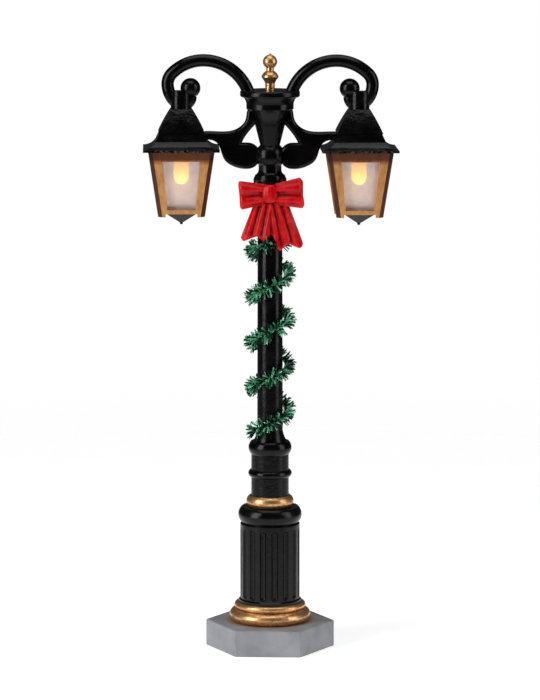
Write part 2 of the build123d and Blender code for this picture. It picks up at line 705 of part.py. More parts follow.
with BuildPart() as finial:
    with BuildSketch(Plane.XZ):
        with BuildLine():
            bell_z = FINIAL_Z + FINIAL_STUB_HEIGHT
            brim_z = bell_z + FINIAL_BELL_HEIGHT / 2
            bell_top = bell_z + FINIAL_BELL_HEIGHT
            neck_top = bell_top + FINIAL_NECK_HEIGHT
            ball_z = neck_top + sqrt(FINIAL_BALL_RADIUS**2 - FINIAL_NECK_RADIUS**2)
            tip_z = ball_z + sqrt(FINIAL_BALL_RADIUS**2 - FINIAL_TIP_RADIUS**2)
            stub = Polyline(
                (0, FINIAL_Z - FINIAL_PEG_LENGTH),
                (FINIAL_PEG_RADIUS, FINIAL_Z - FINIAL_PEG_LENGTH),
                (FINIAL_PEG_RADIUS, FINIAL_Z),
                (FINIAL_STUB_RADIUS, FINIAL_Z),
                (FINIAL_STUB_RADIUS, bell_z),
            )
            bell = ThreePointArc(
                stub @ 1,
                (FINIAL_STUB_RADIUS + FINIAL_BELL_SWEEP_OUT, (bell_z + brim_z) / 2),
                (FINIAL_BELL_RADIUS, brim_z),
            )
            dome = ThreePointArc(
                bell @ 1,
                (
                    FINIAL_STUB_RADIUS + FINIAL_DOME_SWEEP_OUT,
                    (brim_z + bell_top) / 2 + FINIAL_DOME_SWEEP_RISE,
                ),
                (FINIAL_NECK_RADIUS, bell_top),
            )
            Line(dome @ 1, (FINIAL_NECK_RADIUS, neck_top))
            ball_arc(ball_z, FINIAL_BALL_RADIUS, FINIAL_NECK_RADIUS, FINIAL_TIP_RADIUS)
            point = CenterArc((0, tip_z), FINIAL_TIP_RADIUS, 0, QUARTER_TURN)
            Line(point @ 1, stub @ 0)
        make_face()
    revolve(axis=Axis.Z)
save(finial, "finial")

# ---------------------------------------------------------------- scroll arms
ARM_ROOT_PLANE = Plane(
    origin=(root_end.X, 0, root_end.Y),
    z_dir=(root_heading.X, 0, root_heading.Y),
)

with BuildPart() as arm_body:
    with BuildSketch(ARM_ROOT_PLANE):
        Circle(ARM_RADIUS)
    sweep(path=Plane.XZ * arm_line.line)
    with Locations((KNOB_X, 0, KNOB_Z)):
        Sphere(ARM_KNOB_RADIUS)

with BuildPart() as arm_body_left:
    mirror(arm_body.part, about=Plane.YZ)
arm_bodies = {"left": arm_body_left.part, "right": arm_body.part}

with BuildPart() as scroll_arm_right:
    add(arm_body.part)
    with BuildSketch(ARM_ROOT_PLANE):
        Circle(ARM_BORE_RADIUS)
    sweep(path=Plane.XZ * wire_line.line, mode=Mode.SUBTRACT)
save(scroll_arm_right, "scroll_arm_right")

with BuildPart() as scroll_arm_left:
    mirror(scroll_arm_right.part, about=Plane.YZ)
save(scroll_arm_left, "scroll_arm_left")


# ---------------------------------------------------------------- lantern roofs
def roof_outline():
    """The roof's section through its axis."""
    with BuildLine() as outline:
        top = Line((0, LANTERN_TOP_Z), (ROOF_TOP_HALF, LANTERN_TOP_Z))
        slope = ThreePointArc(
            top @ 1,
            (
                (ROOF_TOP_HALF + ROOF_TIER_HALF) / 2 + ROOF_TIER_BULGE,
                (LANTERN_TOP_Z + ROOF_TIER_Z) / 2,
            ),
            (ROOF_TIER_HALF, ROOF_TIER_Z),
        )
        step = Line(slope @ 1, (ROOF_TIER_HALF - ROOF_STEP, ROOF_TIER_Z - ROOF_STEP))
        wall = Line(step @ 1, (ROOF_SKIRT_HALF, ROOF_SKIRT_Z))
        flare = ThreePointArc(
            wall @ 1,
            (
                (ROOF_SKIRT_HALF + ROOF_EAVE_HALF) / 2 - ROOF_EAVE_SWEEP,
                (ROOF_SKIRT_Z + ROOF_EAVE_Z) / 2 - ROOF_EAVE_SWEEP,
            ),
            (ROOF_EAVE_HALF, ROOF_EAVE_Z),
        )
        Polyline(flare @ 1, (ROOF_EAVE_HALF, ROOF_FOOT_Z), (0, ROOF_FOOT_Z), top @ 0)
    make_face(outline.edges())
    mirror(about=Plane.YZ)


ROOF_FOOT_Z = ROOF_EAVE_Z - ROOF_LIP_HEIGHT
SEAT_HALF = FRAME_TOP_HALF + ROOF_SEAT_CLEARANCE

lantern_roofs = {}
for side, sign in SIDES.items():
    axis_x = sign * LANTERN_X
    with BuildPart() as lantern_roof:
        for turn in (0, QUARTER_TURN):
            with BuildSketch(upright(axis_x, LANTERN_YAW + turn)):
                roof_outline()
            combine = Mode.INTERSECT if turn else Mode.ADD
            extrude(amount=ROOF_EAVE_HALF, both=True, mode=combine)
        with BuildSketch(level(axis_x, LANTERN_TOP_Z, LANTERN_YAW)):
            Circle(LANTERN_NECK_RADIUS)
        extrude(amount=LANTERN_NECK_HEIGHT)
        # Seat for the frame's top rail
        with BuildSketch(level(axis_x, ROOF_FOOT_Z, LANTERN_YAW)):
            Rectangle(2 * SEAT_HALF, 2 * SEAT_HALF)
        extrude(amount=ROOF_SEAT_DEPTH, mode=Mode.SUBTRACT)
        # Hollow for the diode's legs, narrowing to the bore of the neck
        with BuildSketch(level(axis_x, FRAME_TOP_Z, LANTERN_YAW)) as hollow_foot:
            Rectangle(2 * (ROOF_SKIRT_HALF - ROOF_WALL), 2 * (ROOF_SKIRT_HALF - ROOF_WALL))
        with BuildSketch(level(axis_x, LANTERN_TOP_Z - ROOF_WALL, LANTERN_YAW)) as hollow_top:
            Rectangle(2 * (ROOF_TOP_HALF - ROOF_WALL), 2 * (ROOF_TOP_HALF - ROOF_WALL))
        loft([hollow_foot.sketch.face(), hollow_top.sketch.face()], mode=Mode.SUBTRACT)
        with BuildSketch(level(axis_x, LANTERN_TOP_Z - ROOF_WALL, LANTERN_YAW)):
            Circle(LANTERN_NECK_BORE_RADIUS)
        extrude(amount=ROOF_WALL + 2 * CURL_SINK, mode=Mode.SUBTRACT)
        add(arm_bodies[side], mode=Mode.SUBTRACT)
    lantern_roofs[side] = lantern_roof.part
    save(lantern_roof, f"lantern_roof_{side}")


# ---------------------------------------------------------------- lantern frames and glazing
def tapered_box(x, low_z, high_z, inset):
    """A square box that follows the lantern frame's taper, inset from its outside."""
    for turn in (0, QUARTER_TURN):
        with BuildSketch(upright(x, LANTERN_YAW + turn)) as section:
            Polygon(
                (frame_half(low_z) - inset, low_z),
                (frame_half(high_z) - inset, high_z),
                (inset - frame_half(high_z), high_z),
                (inset - frame_half(low_z), low_z),
                align=None,
            )
        extrude(
            section.sketch,
            amount=FRAME_TOP_HALF + FRAME_WALL,
            both=True,
            mode=Mode.INTERSECT if turn else Mode.ADD,
        )


WINDOW_TOP_Z = FRAME_TOP_Z - FRAME_TOP_RAIL
WINDOW_FOOT_Z = FLOOR_Z + FRAME_FOOT_RAIL
WINDOW_TOP_HALF = frame_half(WINDOW_TOP_Z) - FRAME_CORNER_CHAMFER - FRAME_POST_TOP_WIDTH
WINDOW_FOOT_HALF = frame_half(WINDOW_FOOT_Z) - FRAME_CORNER_CHAMFER - FRAME_POST_FOOT_WIDTH
GLAZING_INSET = FRAME_WALL + GLAZING_CLEARANCE

for side, sign in SIDES.items():
    axis_x = sign * LANTERN_X
    with BuildPart() as frame_hollow:
        tapered_box(axis_x, FRAME_FOOT_Z, FRAME_TOP_Z, FRAME_WALL)

    with BuildPart() as lantern_frame:
        tapered_box(axis_x, FRAME_FOOT_Z, FRAME_TOP_Z, 0)
        corner_edges = lantern_frame.edges().filter_by(
            lambda edge: abs((edge @ 0).Z - (edge @ 1).Z) > FRAME_HEIGHT / 2
        )
        chamfer(corner_edges, FRAME_CORNER_CHAMFER)
        add(frame_hollow.part, mode=Mode.SUBTRACT)
        for turn in (0, QUARTER_TURN):
            with BuildSketch(upright(axis_x, LANTERN_YAW + turn)):
                Polygon(
                    (WINDOW_FOOT_HALF, WINDOW_FOOT_Z),
                    (WINDOW_TOP_HALF, WINDOW_TOP_Z),
                    (-WINDOW_TOP_HALF, WINDOW_TOP_Z),
                    (-WINDOW_FOOT_HALF, WINDOW_FOOT_Z),
                    align=None,
                )
                with Locations((0, FRAME_FOOT_Z + FRAME_TOE_HEIGHT / 2)):
                    Rectangle(2 * (FRAME_FOOT_HALF - FRAME_TOE_WIDTH), FRAME_TOE_HEIGHT)
            extrude(amount=FRAME_TOP_HALF + FRAME_WALL, both=True, mode=Mode.SUBTRACT)
    save(lantern_frame, f"lantern_frame_{side}")

    with BuildPart() as glazing_core:
        tapered_box(axis_x, FLOOR_Z, FRAME_TOP_Z, GLAZING_INSET + GLAZING_THICKNESS)

    with BuildPart() as glazing:
        tapered_box(axis_x, FLOOR_Z + FLOOR_THICKNESS, HOLDER_Z, GLAZING_INSET)
        add(glazing_core.part, mode=Mode.SUBTRACT)
    save(glazing, f"glazing_{side}")

    with BuildPart() as lantern_bottom:
        tapered_box(axis_x, FLOOR_Z, FLOOR_Z + FLOOR_THICKNESS, FRAME_WALL + FLOOR_CLEARANCE)
        with BuildSketch(level(axis_x, FLOOR_Z, LANTERN_YAW)) as pendant_top:
            Rectangle(2 * PENDANT_HALF, 2 * PENDANT_HALF)
        with BuildSketch(level(axis_x, FLOOR_Z - PENDANT_DROP, LANTERN_YAW)) as pendant_foot:
            Rectangle(PENDANT_TIP_RADIUS, PENDANT_TIP_RADIUS)
        loft([pendant_top.sketch.face(), pendant_foot.sketch.face()])
        with Locations((axis_x, 0, FLOOR_Z - PENDANT_DROP)):
            Sphere(PENDANT_TIP_RADIUS)
    save(lantern_bottom, f"lantern_bottom_{side}")

    with BuildPart() as led_holder:
        tapered_box(axis_x, HOLDER_Z, HOLDER_Z + HOLDER_THICKNESS, FRAME_WALL + FLOOR_CLEARANCE)
        with BuildSketch(Plane.XY.offset(HOLDER_Z)):
            for leg in (-1, 1):
                with Locations((axis_x, leg * LED_LEG_PITCH / 2)):
                    hole_side = LED_LEG_SIDE + 2 * LEG_HOLE_CLEARANCE
                    Rectangle(hole_side, hole_side)
        extrude(amount=HOLDER_THICKNESS, mode=Mode.SUBTRACT)
    save(led_holder, f"led_holder_{side}")

    with BuildPart() as led:
        with BuildSketch(Plane.XY.offset(HOLDER_Z)):
            with Locations((axis_x, 0)):
                Circle(LED_FLANGE_RADIUS)
        extrude(amount=-LED_FLANGE_HEIGHT)
        dome_z = HOLDER_Z - LED_BODY_LENGTH + LED_RADIUS
        with BuildSketch(Plane.XY.offset(dome_z)):
            with Locations((axis_x, 0)):
                Circle(LED_RADIUS)
        extrude(amount=HOLDER_Z - dome_z)
        with Locations((axis_x, 0, dome_z)):
            Sphere(LED_RADIUS)
        with BuildSketch(Plane.XY.offset(HOLDER_Z)):
            for leg in (-1, 1):
                with Locations((axis_x, leg * LED_LEG_PITCH / 2)):
                    Rectangle(LED_LEG_SIDE, LED_LEG_SIDE)
        extrude(amount=LED_LEG_LENGTH)
    save(led, f"led_{side}")

# ---------------------------------------------------------------- lower brackets
VOLUTE_Z = BALL_Z
ROOF_BRACE_X = LANTERN_X - ROOF_TIER_HALF + BRACE_GRIP
EAVE_X = LANTERN_X - ROOF_EAVE_HALF


def bracket_profile():
    """The bracket's outline in the (outward, up) frame."""
    with BuildLine() as outline:
        strand_top = Spline(
            (URN_WAIST_RADIUS - STRAND_ROOT_INSET, URN_BAND_Z + STRAND_ROOT_RISE),
            (URN_WAIST_RADIUS - STRAND_SIDE_GAP, URN_BAND_Z - STRAND_SIDE_TOP_DROP),
            (URN_WAIST_RADIUS + STRAND_SIDE_GAP, URN_BAND_Z - STRAND_SIDE_FOOT_DROP),
            (URN_WAIST_RADIUS + STRAND_TURN_OUT, URN_Z),
            (URN_WAIST_RADIUS + STRAND_SWEEP_OUT, ROOF_TIER_Z + STRAND_SWEEP_RISE),
            (URN_WAIST_RADIUS + STRAND_LEVEL_OUT, ROOF_TIER_Z),
            (ROOF_BRACE_X, ROOF_TIER_Z),
        )
        brace_end = Line(strand_top @ 1, (ROOF_BRACE_X, ROOF_SKIRT_Z))
        belly = Spline(
            brace_end @ 1,
            (EAVE_X - BELLY_EAVE_GAP, ROOF_EAVE_Z - BELLY_EAVE_DROP),
            (EAVE_X - BELLY_SIDE_GAP, VOLUTE_Z - BELLY_SIDE_DROP),
            (VOLUTE_OFFSET + BELLY_TURN_OUT, VOLUTE_Z - VOLUTE_RADIUS + BELLY_TURN_RISE),
            (VOLUTE_OFFSET, VOLUTE_Z - VOLUTE_RADIUS),
        )
        rounded = ThreePointArc(
            belly @ 1,
            (VOLUTE_OFFSET - VOLUTE_RADIUS, VOLUTE_Z),
            (VOLUTE_OFFSET, VOLUTE_Z + VOLUTE_RADIUS),
        )
        notch = Line(rounded @ 1, (VOLUTE_OFFSET + VOLUTE_NOTCH, VOLUTE_Z + VOLUTE_RADIUS))
        strand_foot = Spline(
            notch @ 1,
            (VOLUTE_OFFSET + STRAND_FOOT_OUT, VOLUTE_Z + VOLUTE_RADIUS + STRAND_FOOT_RISE),
            (COLUMN_TOP_RADIUS, URN_Z + STRAND_HUB_RISE),
            (COLUMN_TOP_RADIUS - STRAND_END_INSET, URN_Z + STRAND_END_RISE),
        )
        Line(strand_foot @ 1, strand_top @ 0)
    make_face(outline.edges())


for side, sign in SIDES.items():
    with BuildPart() as lower_bracket:
        with BuildSketch(Plane.XZ):
            bracket_profile()
        extrude(amount=BRACKET_THICKNESS / 2, both=True)
        rims = lower_bracket.edges().filter_by_position(
            Axis.Y, -BRACKET_THICKNESS / 2, -BRACKET_THICKNESS / 2
        ) + lower_bracket.edges().filter_by_position(
            Axis.Y, BRACKET_THICKNESS / 2, BRACKET_THICKNESS / 2
        )
        fillet(rims, BRACKET_EDGE_ROUND)
        if sign < 0:
            mirror(about=Plane.YZ, mode=Mode.REPLACE)
        add(hub_envelope.part, mode=Mode.SUBTRACT)
        add(lantern_roofs[side], mode=Mode.SUBTRACT)
    save(lower_bracket, f"lower_bracket_{side}")

# ---------------------------------------------------------------- internal wires
LEG_TOP_Z = HOLDER_Z + LED_LEG_LENGTH
DROP_END_Z = (drop @ 1).Y


def wire_route(sign, polarity):
    """One wire from a diode's leg, through neck, arm, hub and shaft, to its splice."""
    offset = polarity * WIRE_SPACING / 2
    leg_y = polarity * LED_LEG_PITCH / 2
    lane_x = sign * WIRE_BUNDLE_OFFSET
    axis_x = sign * LANTERN_X
    floor_z = OUTLET_Z + offset
    floor_radius = WIRE_FLOOR_RADIUS + WIRE_SPACING / 2 - offset
    splice_x = -polarity * SPLICE_PITCH / 2 + sign * SPLICE_WIRE_SPACING / 2
    cap_exit = root_end - root_heading * WIRE_CAP_RUN
    middle_plane = Plane(origin=(0, offset, 0), x_dir=(sign, 0, 0), z_dir=(0, -sign, 0))
    with BuildLine() as route:
        FilletPolyline(
            (axis_x, leg_y, LEG_TOP_Z),
            (axis_x, leg_y, LEG_TOP_Z + WIRE_LEG_RUN),
            (axis_x, offset, DROP_END_Z - WIRE_DROP_RUN),
            (axis_x, offset, DROP_END_Z),
            radius=WIRE_FAN_RADIUS,
        )
        add(middle_plane * wire_line.line)
        FilletPolyline(
            (sign * root_end.X, offset, root_end.Y),
            (sign * cap_exit.X, offset, cap_exit.Y),
            (lane_x, offset, URN_Z - WIRE_URN_DROP),
            (lane_x, offset, floor_z),
            (lane_x, SPLICE_START_Y - WIRE_SPREAD_RUN, floor_z),
            (splice_x, SPLICE_START_Y - WIRE_SPLICE_RUN, floor_z),
            (splice_x, SPLICE_START_Y, floor_z),
            radius=(
                WIRE_BEND_RADIUS,
                WIRE_BEND_RADIUS,
                floor_radius,
                WIRE_SPREAD_RADIUS,
                WIRE_SPREAD_RADIUS,
            ),
        )
    return route


for side, sign in SIDES.items():
    with BuildPart() as led_wires:
        for polarity in (-1, 1):
            route = wire_route(sign, polarity)
            leg_top = (sign * LANTERN_X, polarity * LED_LEG_PITCH / 2, LEG_TOP_Z)
            with BuildSketch(Plane(origin=leg_top)):
                Circle(WIRE_RADIUS)
            sweep(path=route.line)
    save(led_wires, f"led_wires_{side}")

with BuildPart() as lead_splices:
    for polarity in (-1, 1):
        splice_place = (-polarity * SPLICE_PITCH / 2, OUTLET_Z + polarity * WIRE_SPACING / 2)
        with BuildSketch(Plane.XZ.offset(-SPLICE_START_Y)):
            with Locations(splice_place):
                Circle(SPLICE_RADIUS)
        extrude(amount=-SPLICE_LENGTH)
save(lead_splices, "lead_splices")

# ---------------------------------------------------------------- bow
BOW_Z = COLLAR_Z - BOW_CENTRE_BELOW_COLLAR
BOW_FOOT_Z = BOW_Z - BOW_TAIL_LENGTH
BOW_BACK_Y = -(shaft_radius(BOW_FOOT_Z) + BOW_GAP)

with BuildPart() as bow_loops:
    with BuildSketch(Plane.XZ.offset(-BOW_BACK_Y)):
        with BuildLine():
            Polyline(
                (0, BOW_Z + BOW_THROAT_TOP),
                (BOW_HALF_WIDTH - BOW_LOOP_CORNER, BOW_Z + BOW_LOOP_TOP),
                (BOW_HALF_WIDTH, BOW_Z + BOW_LOOP_TOP - BOW_LOOP_CORNER),
                (BOW_HALF_WIDTH, BOW_Z - BOW_LOOP_FOOT + BOW_LOOP_CORNER),
                (BOW_HALF_WIDTH - BOW_LOOP_CORNER, BOW_Z - BOW_LOOP_FOOT),
                (0, BOW_Z - BOW_THROAT_FOOT),
                close=True,
            )
        make_face()
        mirror(about=Plane.YZ)
    extrude(amount=BOW_LOOP_THICKNESS)
    chamfer(bow_loops.faces().sort_by(Axis.Y)[0].edges(), BOW_BEVEL)

with BuildPart() as bow_tails:
    with BuildSketch(Plane.XZ.offset(-BOW_BACK_Y)):
        with BuildLine():
            Polyline(
                (0, BOW_Z - BOW_TAIL_ROOT_DROP),
                (BOW_TAIL_ROOT_HALF, BOW_Z - BOW_TAIL_ROOT_DROP),
                (BOW_TAIL_HALF_WIDTH, BOW_Z - BOW_TAIL_SIDE_LENGTH),
                (BOW_TAIL_HALF_WIDTH - BOW_TAIL_CORNER, BOW_Z - BOW_TAIL_SIDE_LENGTH - BOW_TAIL_CORNER),
                (BOW_TAIL_NOTCH_X, BOW_Z - BOW_TAIL_NOTCH_DROP),
                (BOW_TAIL_POINT_X, BOW_FOOT_Z),
                (0, BOW_Z - BOW_TAIL_SPLIT_DROP),
                close=True,
            )
        make_face()
        mirror(about=Plane.YZ)
    extrude(amount=BOW_TAIL_THICKNESS)
    chamfer(bow_tails.faces().sort_by(Axis.Y)[0].edges(), BOW_BEVEL)

with BuildPart() as bow_knot:
    with BuildSketch(Plane.XZ.offset(-BOW_BACK_Y)):
        with Locations((0, BOW_Z)):
            Rectangle(BOW_KNOT_WIDTH, BOW_KNOT_HEIGHT)
    extrude(amount=BOW_KNOT_DEPTH)
    chamfer(bow_knot.edges().filter_by(Axis.Y), BOW_KNOT_BEVEL)
    chamfer(bow_knot.faces().sort_by(Axis.Y)[0].edges(), BOW_BEVEL)

with BuildPart() as bow:
    add(bow_loops.part)
    add(bow_tails.part)
    add(bow_knot.part)
    # Relief for the collar above the bow
    with BuildSketch(Plane.XY.offset(COLLAR_Z - COLLAR_CLEARANCE)):
        Circle(COLLAR_RADIUS + COLLAR_CLEARANCE)
    extrude(amount=COLLAR_HEIGHT + COLLAR_CLEARANCE, mode=Mode.SUBTRACT)
save(bow, "bow")

# ---------------------------------------------------------------- garland
GARLAND_Z = SHAFT_Z - GARLAND_FOOT_DROP
GARLAND_RISE = BOW_Z - GARLAND_TOP_BELOW_BOW - GARLAND_Z


def garland_section():
    """The level-axis plane at the garland's foot, square to its helix."""
    angle = radians(GARLAND_START_ANGLE)
    slope = GARLAND_PITCH / (2 * pi)
    return Plane(
        origin=(GARLAND_RADIUS * cos(angle), GARLAND_RADIUS * sin(angle), GARLAND_Z),
        x_dir=(cos(angle), sin(angle), 0),
        z_dir=(-GARLAND_RADIUS * sin(angle), GARLAND_RADIUS * cos(angle), slope),
    )


def garland_path():
    """The helix that the garland follows up the shaft."""
    turn = Rot(0, 0, GARLAND_START_ANGLE)
    return Pos(0, 0, GARLAND_Z) * turn * Helix(
        pitch=GARLAND_PITCH,
        height=GARLAND_RISE,
        radius=GARLAND_RADIUS,
    )


with BuildPart() as garland_wire:
    with BuildSketch(garland_section()):
        with Locations((-GARLAND_WIRE_INSET, 0)):
            Circle(GARLAND_WIRE_RADIUS)
    sweep(path=garland_path(), is_frenet=True)
save(garland_wire, "garland_wire")

with BuildPart() as garland_tinsel:
    with BuildSketch(garland_section()):
        Ellipse(GARLAND_RADIAL_HALF, GARLAND_AXIAL_HALF)
        with Locations((-GARLAND_WIRE_INSET, 0)):
            Circle(GARLAND_WIRE_RADIUS + GARLAND_WIRE_CLEARANCE, mode=Mode.SUBTRACT)
    sweep(path=garland_path(), is_frenet=True)
    # Room for the cone of the collar sleeve, which the first turn stands beside
    with Locations((0, 0, CONE_Z)):
        Cone(
            SLEEVE_RADIUS,
            SHAFT_FOOT_RADIUS + GARLAND_GAP,
            SLEEVE_CONE_HEIGHT,
            align=(Align.CENTER, Align.CENTER, Align.MIN),
            mode=Mode.SUBTRACT,
        )
save(garland_tinsel, "garland_tinsel")
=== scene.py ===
"""Finishes for the double-lantern street lamp post: paint, bow, tinsel garland, light, camera.

Shapes are worked out in millimetres, with the post's axis as Z and -Y as the front, and
become Blender's metres through MM.
"""

import math
import random

import bpy
from mathutils import Matrix, Vector


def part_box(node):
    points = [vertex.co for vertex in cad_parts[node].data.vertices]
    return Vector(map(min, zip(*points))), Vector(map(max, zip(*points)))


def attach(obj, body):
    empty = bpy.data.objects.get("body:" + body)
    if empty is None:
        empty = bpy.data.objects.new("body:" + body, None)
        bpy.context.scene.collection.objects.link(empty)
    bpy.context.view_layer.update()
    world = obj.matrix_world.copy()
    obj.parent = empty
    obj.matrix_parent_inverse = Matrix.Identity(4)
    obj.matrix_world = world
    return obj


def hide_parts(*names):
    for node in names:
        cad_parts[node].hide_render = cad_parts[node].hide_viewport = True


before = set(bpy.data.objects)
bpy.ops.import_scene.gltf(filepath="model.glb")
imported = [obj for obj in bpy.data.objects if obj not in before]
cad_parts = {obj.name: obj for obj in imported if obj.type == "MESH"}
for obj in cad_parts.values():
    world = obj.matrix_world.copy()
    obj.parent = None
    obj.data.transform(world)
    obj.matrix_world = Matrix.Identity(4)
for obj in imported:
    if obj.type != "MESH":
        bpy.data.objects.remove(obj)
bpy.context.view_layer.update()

MM = 0.001
BODY = "root"


# ---------------------------------------------------------------- helpers for finishes
class Finish:
    """A Principled material whose detail comes from place on the object, in millimetres."""

    def __init__(self, name, **uniform):
        self.material = bpy.data.materials.new(name)
        self.material.use_nodes = True
        self.tree = self.material.node_tree
        self.shader = self.tree.nodes["Principled BSDF"]
        metres = self.node("ShaderNodeTexCoord").outputs["Object"]
        self.place = self.scaled(metres, (1 / MM, 1 / MM, 1 / MM))
        for name, value in uniform.items():
            self.shader.inputs[name.replace("_", " ")].default_value = value

    def node(self, kind, **settings):
        """Adds a shader node."""
        made = self.tree.nodes.new(kind)
        for name, value in settings.items():
            setattr(made, name, value)
        return made

    def feed(self, socket, value):
        """Links a socket to another one, or sets it to a number."""
        if isinstance(value, bpy.types.NodeSocket):
            self.tree.links.new(value, socket)
        else:
            socket.default_value = value

    def surface(self, name, value):
        """Feeds an input of the Principled shader."""
        self.feed(self.shader.inputs[name], value)

    def scaled(self, vector, factors):
        made = self.node("ShaderNodeVectorMath", operation="MULTIPLY")
        self.feed(made.inputs[0], vector)
        made.inputs[1].default_value = factors
        return made.outputs[0]

    def maths(self, operation, *values):
        made = self.node("ShaderNodeMath", operation=operation)
        for socket, value in zip(made.inputs, values):
            self.feed(socket, value)
        return made.outputs[0]

    def axis(self, letter, vector=None):
        made = self.node("ShaderNodeSeparateXYZ")
        self.feed(made.inputs[0], vector or self.place)
        return made.outputs[letter]

    def noise(self, per_mm, detail=2.0, roughness=0.5, stretch=(1, 1, 1)):
        """Noise with about that many blotches to a millimetre."""
        made = self.node("ShaderNodeTexNoise")
        self.feed(made.inputs["Vector"], self.scaled(self.place, stretch))
        made.inputs["Scale"].default_value = per_mm
        made.inputs["Detail"].default_value = detail
        made.inputs["Roughness"].default_value = roughness
        return made.outputs[0]

    def span(self, value, low, high, to_low=0.0, to_high=1.0):
        """Maps low..high to to_low..to_high, and clamps."""
        made = self.node("ShaderNodeMapRange")
        for socket, number in zip(made.inputs, (value, low, high, to_low, to_high)):
            self.feed(socket, number)
        return made.outputs[0]

    def ramp(self, factor, *stops):
        """A colour ramp through (position, colour) stops."""
        made = self.node("ShaderNodeValToRGB")
        self.feed(made.inputs[0], factor)
        elements = made.color_ramp.elements
        while len(elements) < len(stops):
            elements.new(0.5)
        for element, (position, colour) in zip(elements, stops):
            element.position = position
            element.color = (*colour, 1.0)
        return made.outputs[0]

    def mix(self, factor, first, second):
        made = self.node("ShaderNodeMix", data_type="RGBA")
        self.feed(made.inputs[0], factor)
        for socket, value in ((made.inputs[6], first), (made.inputs[7], second)):
            self.feed(socket, value if isinstance(value, bpy.types.NodeSocket) else (*value, 1.0))
        return made.outputs[2]

    def bump(self, height, depth, base=None):
        """depth is the height in millimetres of a full step of the height value."""
        made = self.node("ShaderNodeBump")
        made.inputs["Distance"].default_value = depth * MM
        self.feed(made.inputs["Height"], height)
        if base:
            self.feed(made.inputs["Normal"], base)
        return made.outputs[0]


def middle(node):
    """Centre of a CAD node's box, in millimetres."""
    low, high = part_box(node)
    return (low + high) / 2 / MM


def low_high(node):
    """Corners of a CAD node's box, in millimetres."""
    low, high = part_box(node)
    return low / MM, high / MM


# ---------------------------------------------------------------- finishes
# Reaches of the paint effects and of the painted highlight and painted shade, in millimetres
LIP_HIGHLIGHT_TOP = 0.55
LIP_HIGHLIGHT_FULL = 0.35
RAIL_SHADE_FOOT = 3.0
RAIL_SHADE_TOP = 1.8
SPILL_START = 0.1
SPILL_END = 1.0
SPILL_RAGGED = 0.5
PLINTH_TOP_BAND = 0.25
PLINTH_TOP_EDGE = 0.05
BLOOM_DROP = 1.0
BLOOM_REACH = 6.0
LAMP_GLOW_LENGTH = 6.0


def black_enamel(name, cast_depth, eave_lip_highlight):
    """Gloss enamel over a casting: orange peel, dull patches, dust and, if asked, a painted highlight
    along the eave lip.
    """
    made = Finish(name, Specular_IOR_Level=0.22)
    patches = made.noise(0.35, detail=3)
    grain = made.noise(5.0, detail=2)
    colour = made.ramp(patches, (0.3, (0.0012, 0.0012, 0.0014)), (0.75, (0.0032, 0.0033, 0.0038)))
    speck = made.span(made.noise(9.0, detail=1), 0.70, 0.78)
    dust_and_eave_highlight = made.mix(speck, colour, (0.018, 0.018, 0.019))
    if eave_lip_highlight:
        # Painted highlight: a pale grey-brown line, broken up by noise, along the bottom of the roof's
        # eave lip.
        lip = made.span(made.axis("Z"), eave_foot + LIP_HIGHLIGHT_TOP, eave_foot + LIP_HIGHLIGHT_FULL)
        eave_highlight_mask = made.span(made.noise(1.6, detail=4, roughness=0.7), 0.48, 0.62, 0.0, 0.8)
        dust_and_eave_highlight = made.mix(made.maths("MULTIPLY", lip, eave_highlight_mask), dust_and_eave_highlight, (0.13, 0.10, 0.095))
    made.surface("Base Color", dust_and_eave_highlight)
    gloss = made.span(patches, 0.3, 0.7, 0.13, 0.24)
    made.surface("Roughness", made.maths("ADD", gloss, made.span(grain, 0.3, 0.7, 0.0, 0.05)))
    cast = made.bump(made.noise(0.55, detail=3, roughness=0.6), cast_depth)
    peel = made.bump(made.noise(1.6, detail=2), 0.03, cast)
    made.surface("Normal", made.bump(grain, 0.003, peel))
    return made.material


def gold_paint():
    """Brushed-on gold: lighter where the brush left most, red-brown where it is thin."""
    made = Finish("gold_paint_finish", Metallic=0.85, Specular_IOR_Level=0.5)
    brush = made.noise(0.9, detail=4, roughness=0.6, stretch=(1, 1, 2.2))
    cover = made.noise(3.5, detail=3)
    thick = made.maths("ADD", made.maths("MULTIPLY", brush, 0.6), made.maths("MULTIPLY", cover, 0.4))
    colour = made.ramp(thick, (0.34, (0.24, 0.080, 0.032)), (0.45, (0.62, 0.32, 0.13)),
                       (0.62, (0.86, 0.55, 0.28)))
    made.surface("Base Color", colour)
    made.surface("Roughness", made.span(thick, 0.35, 0.65, 0.44, 0.24))
    made.surface("Normal", made.bump(cover, 0.02, made.bump(brush, 0.05)))
    return made.material


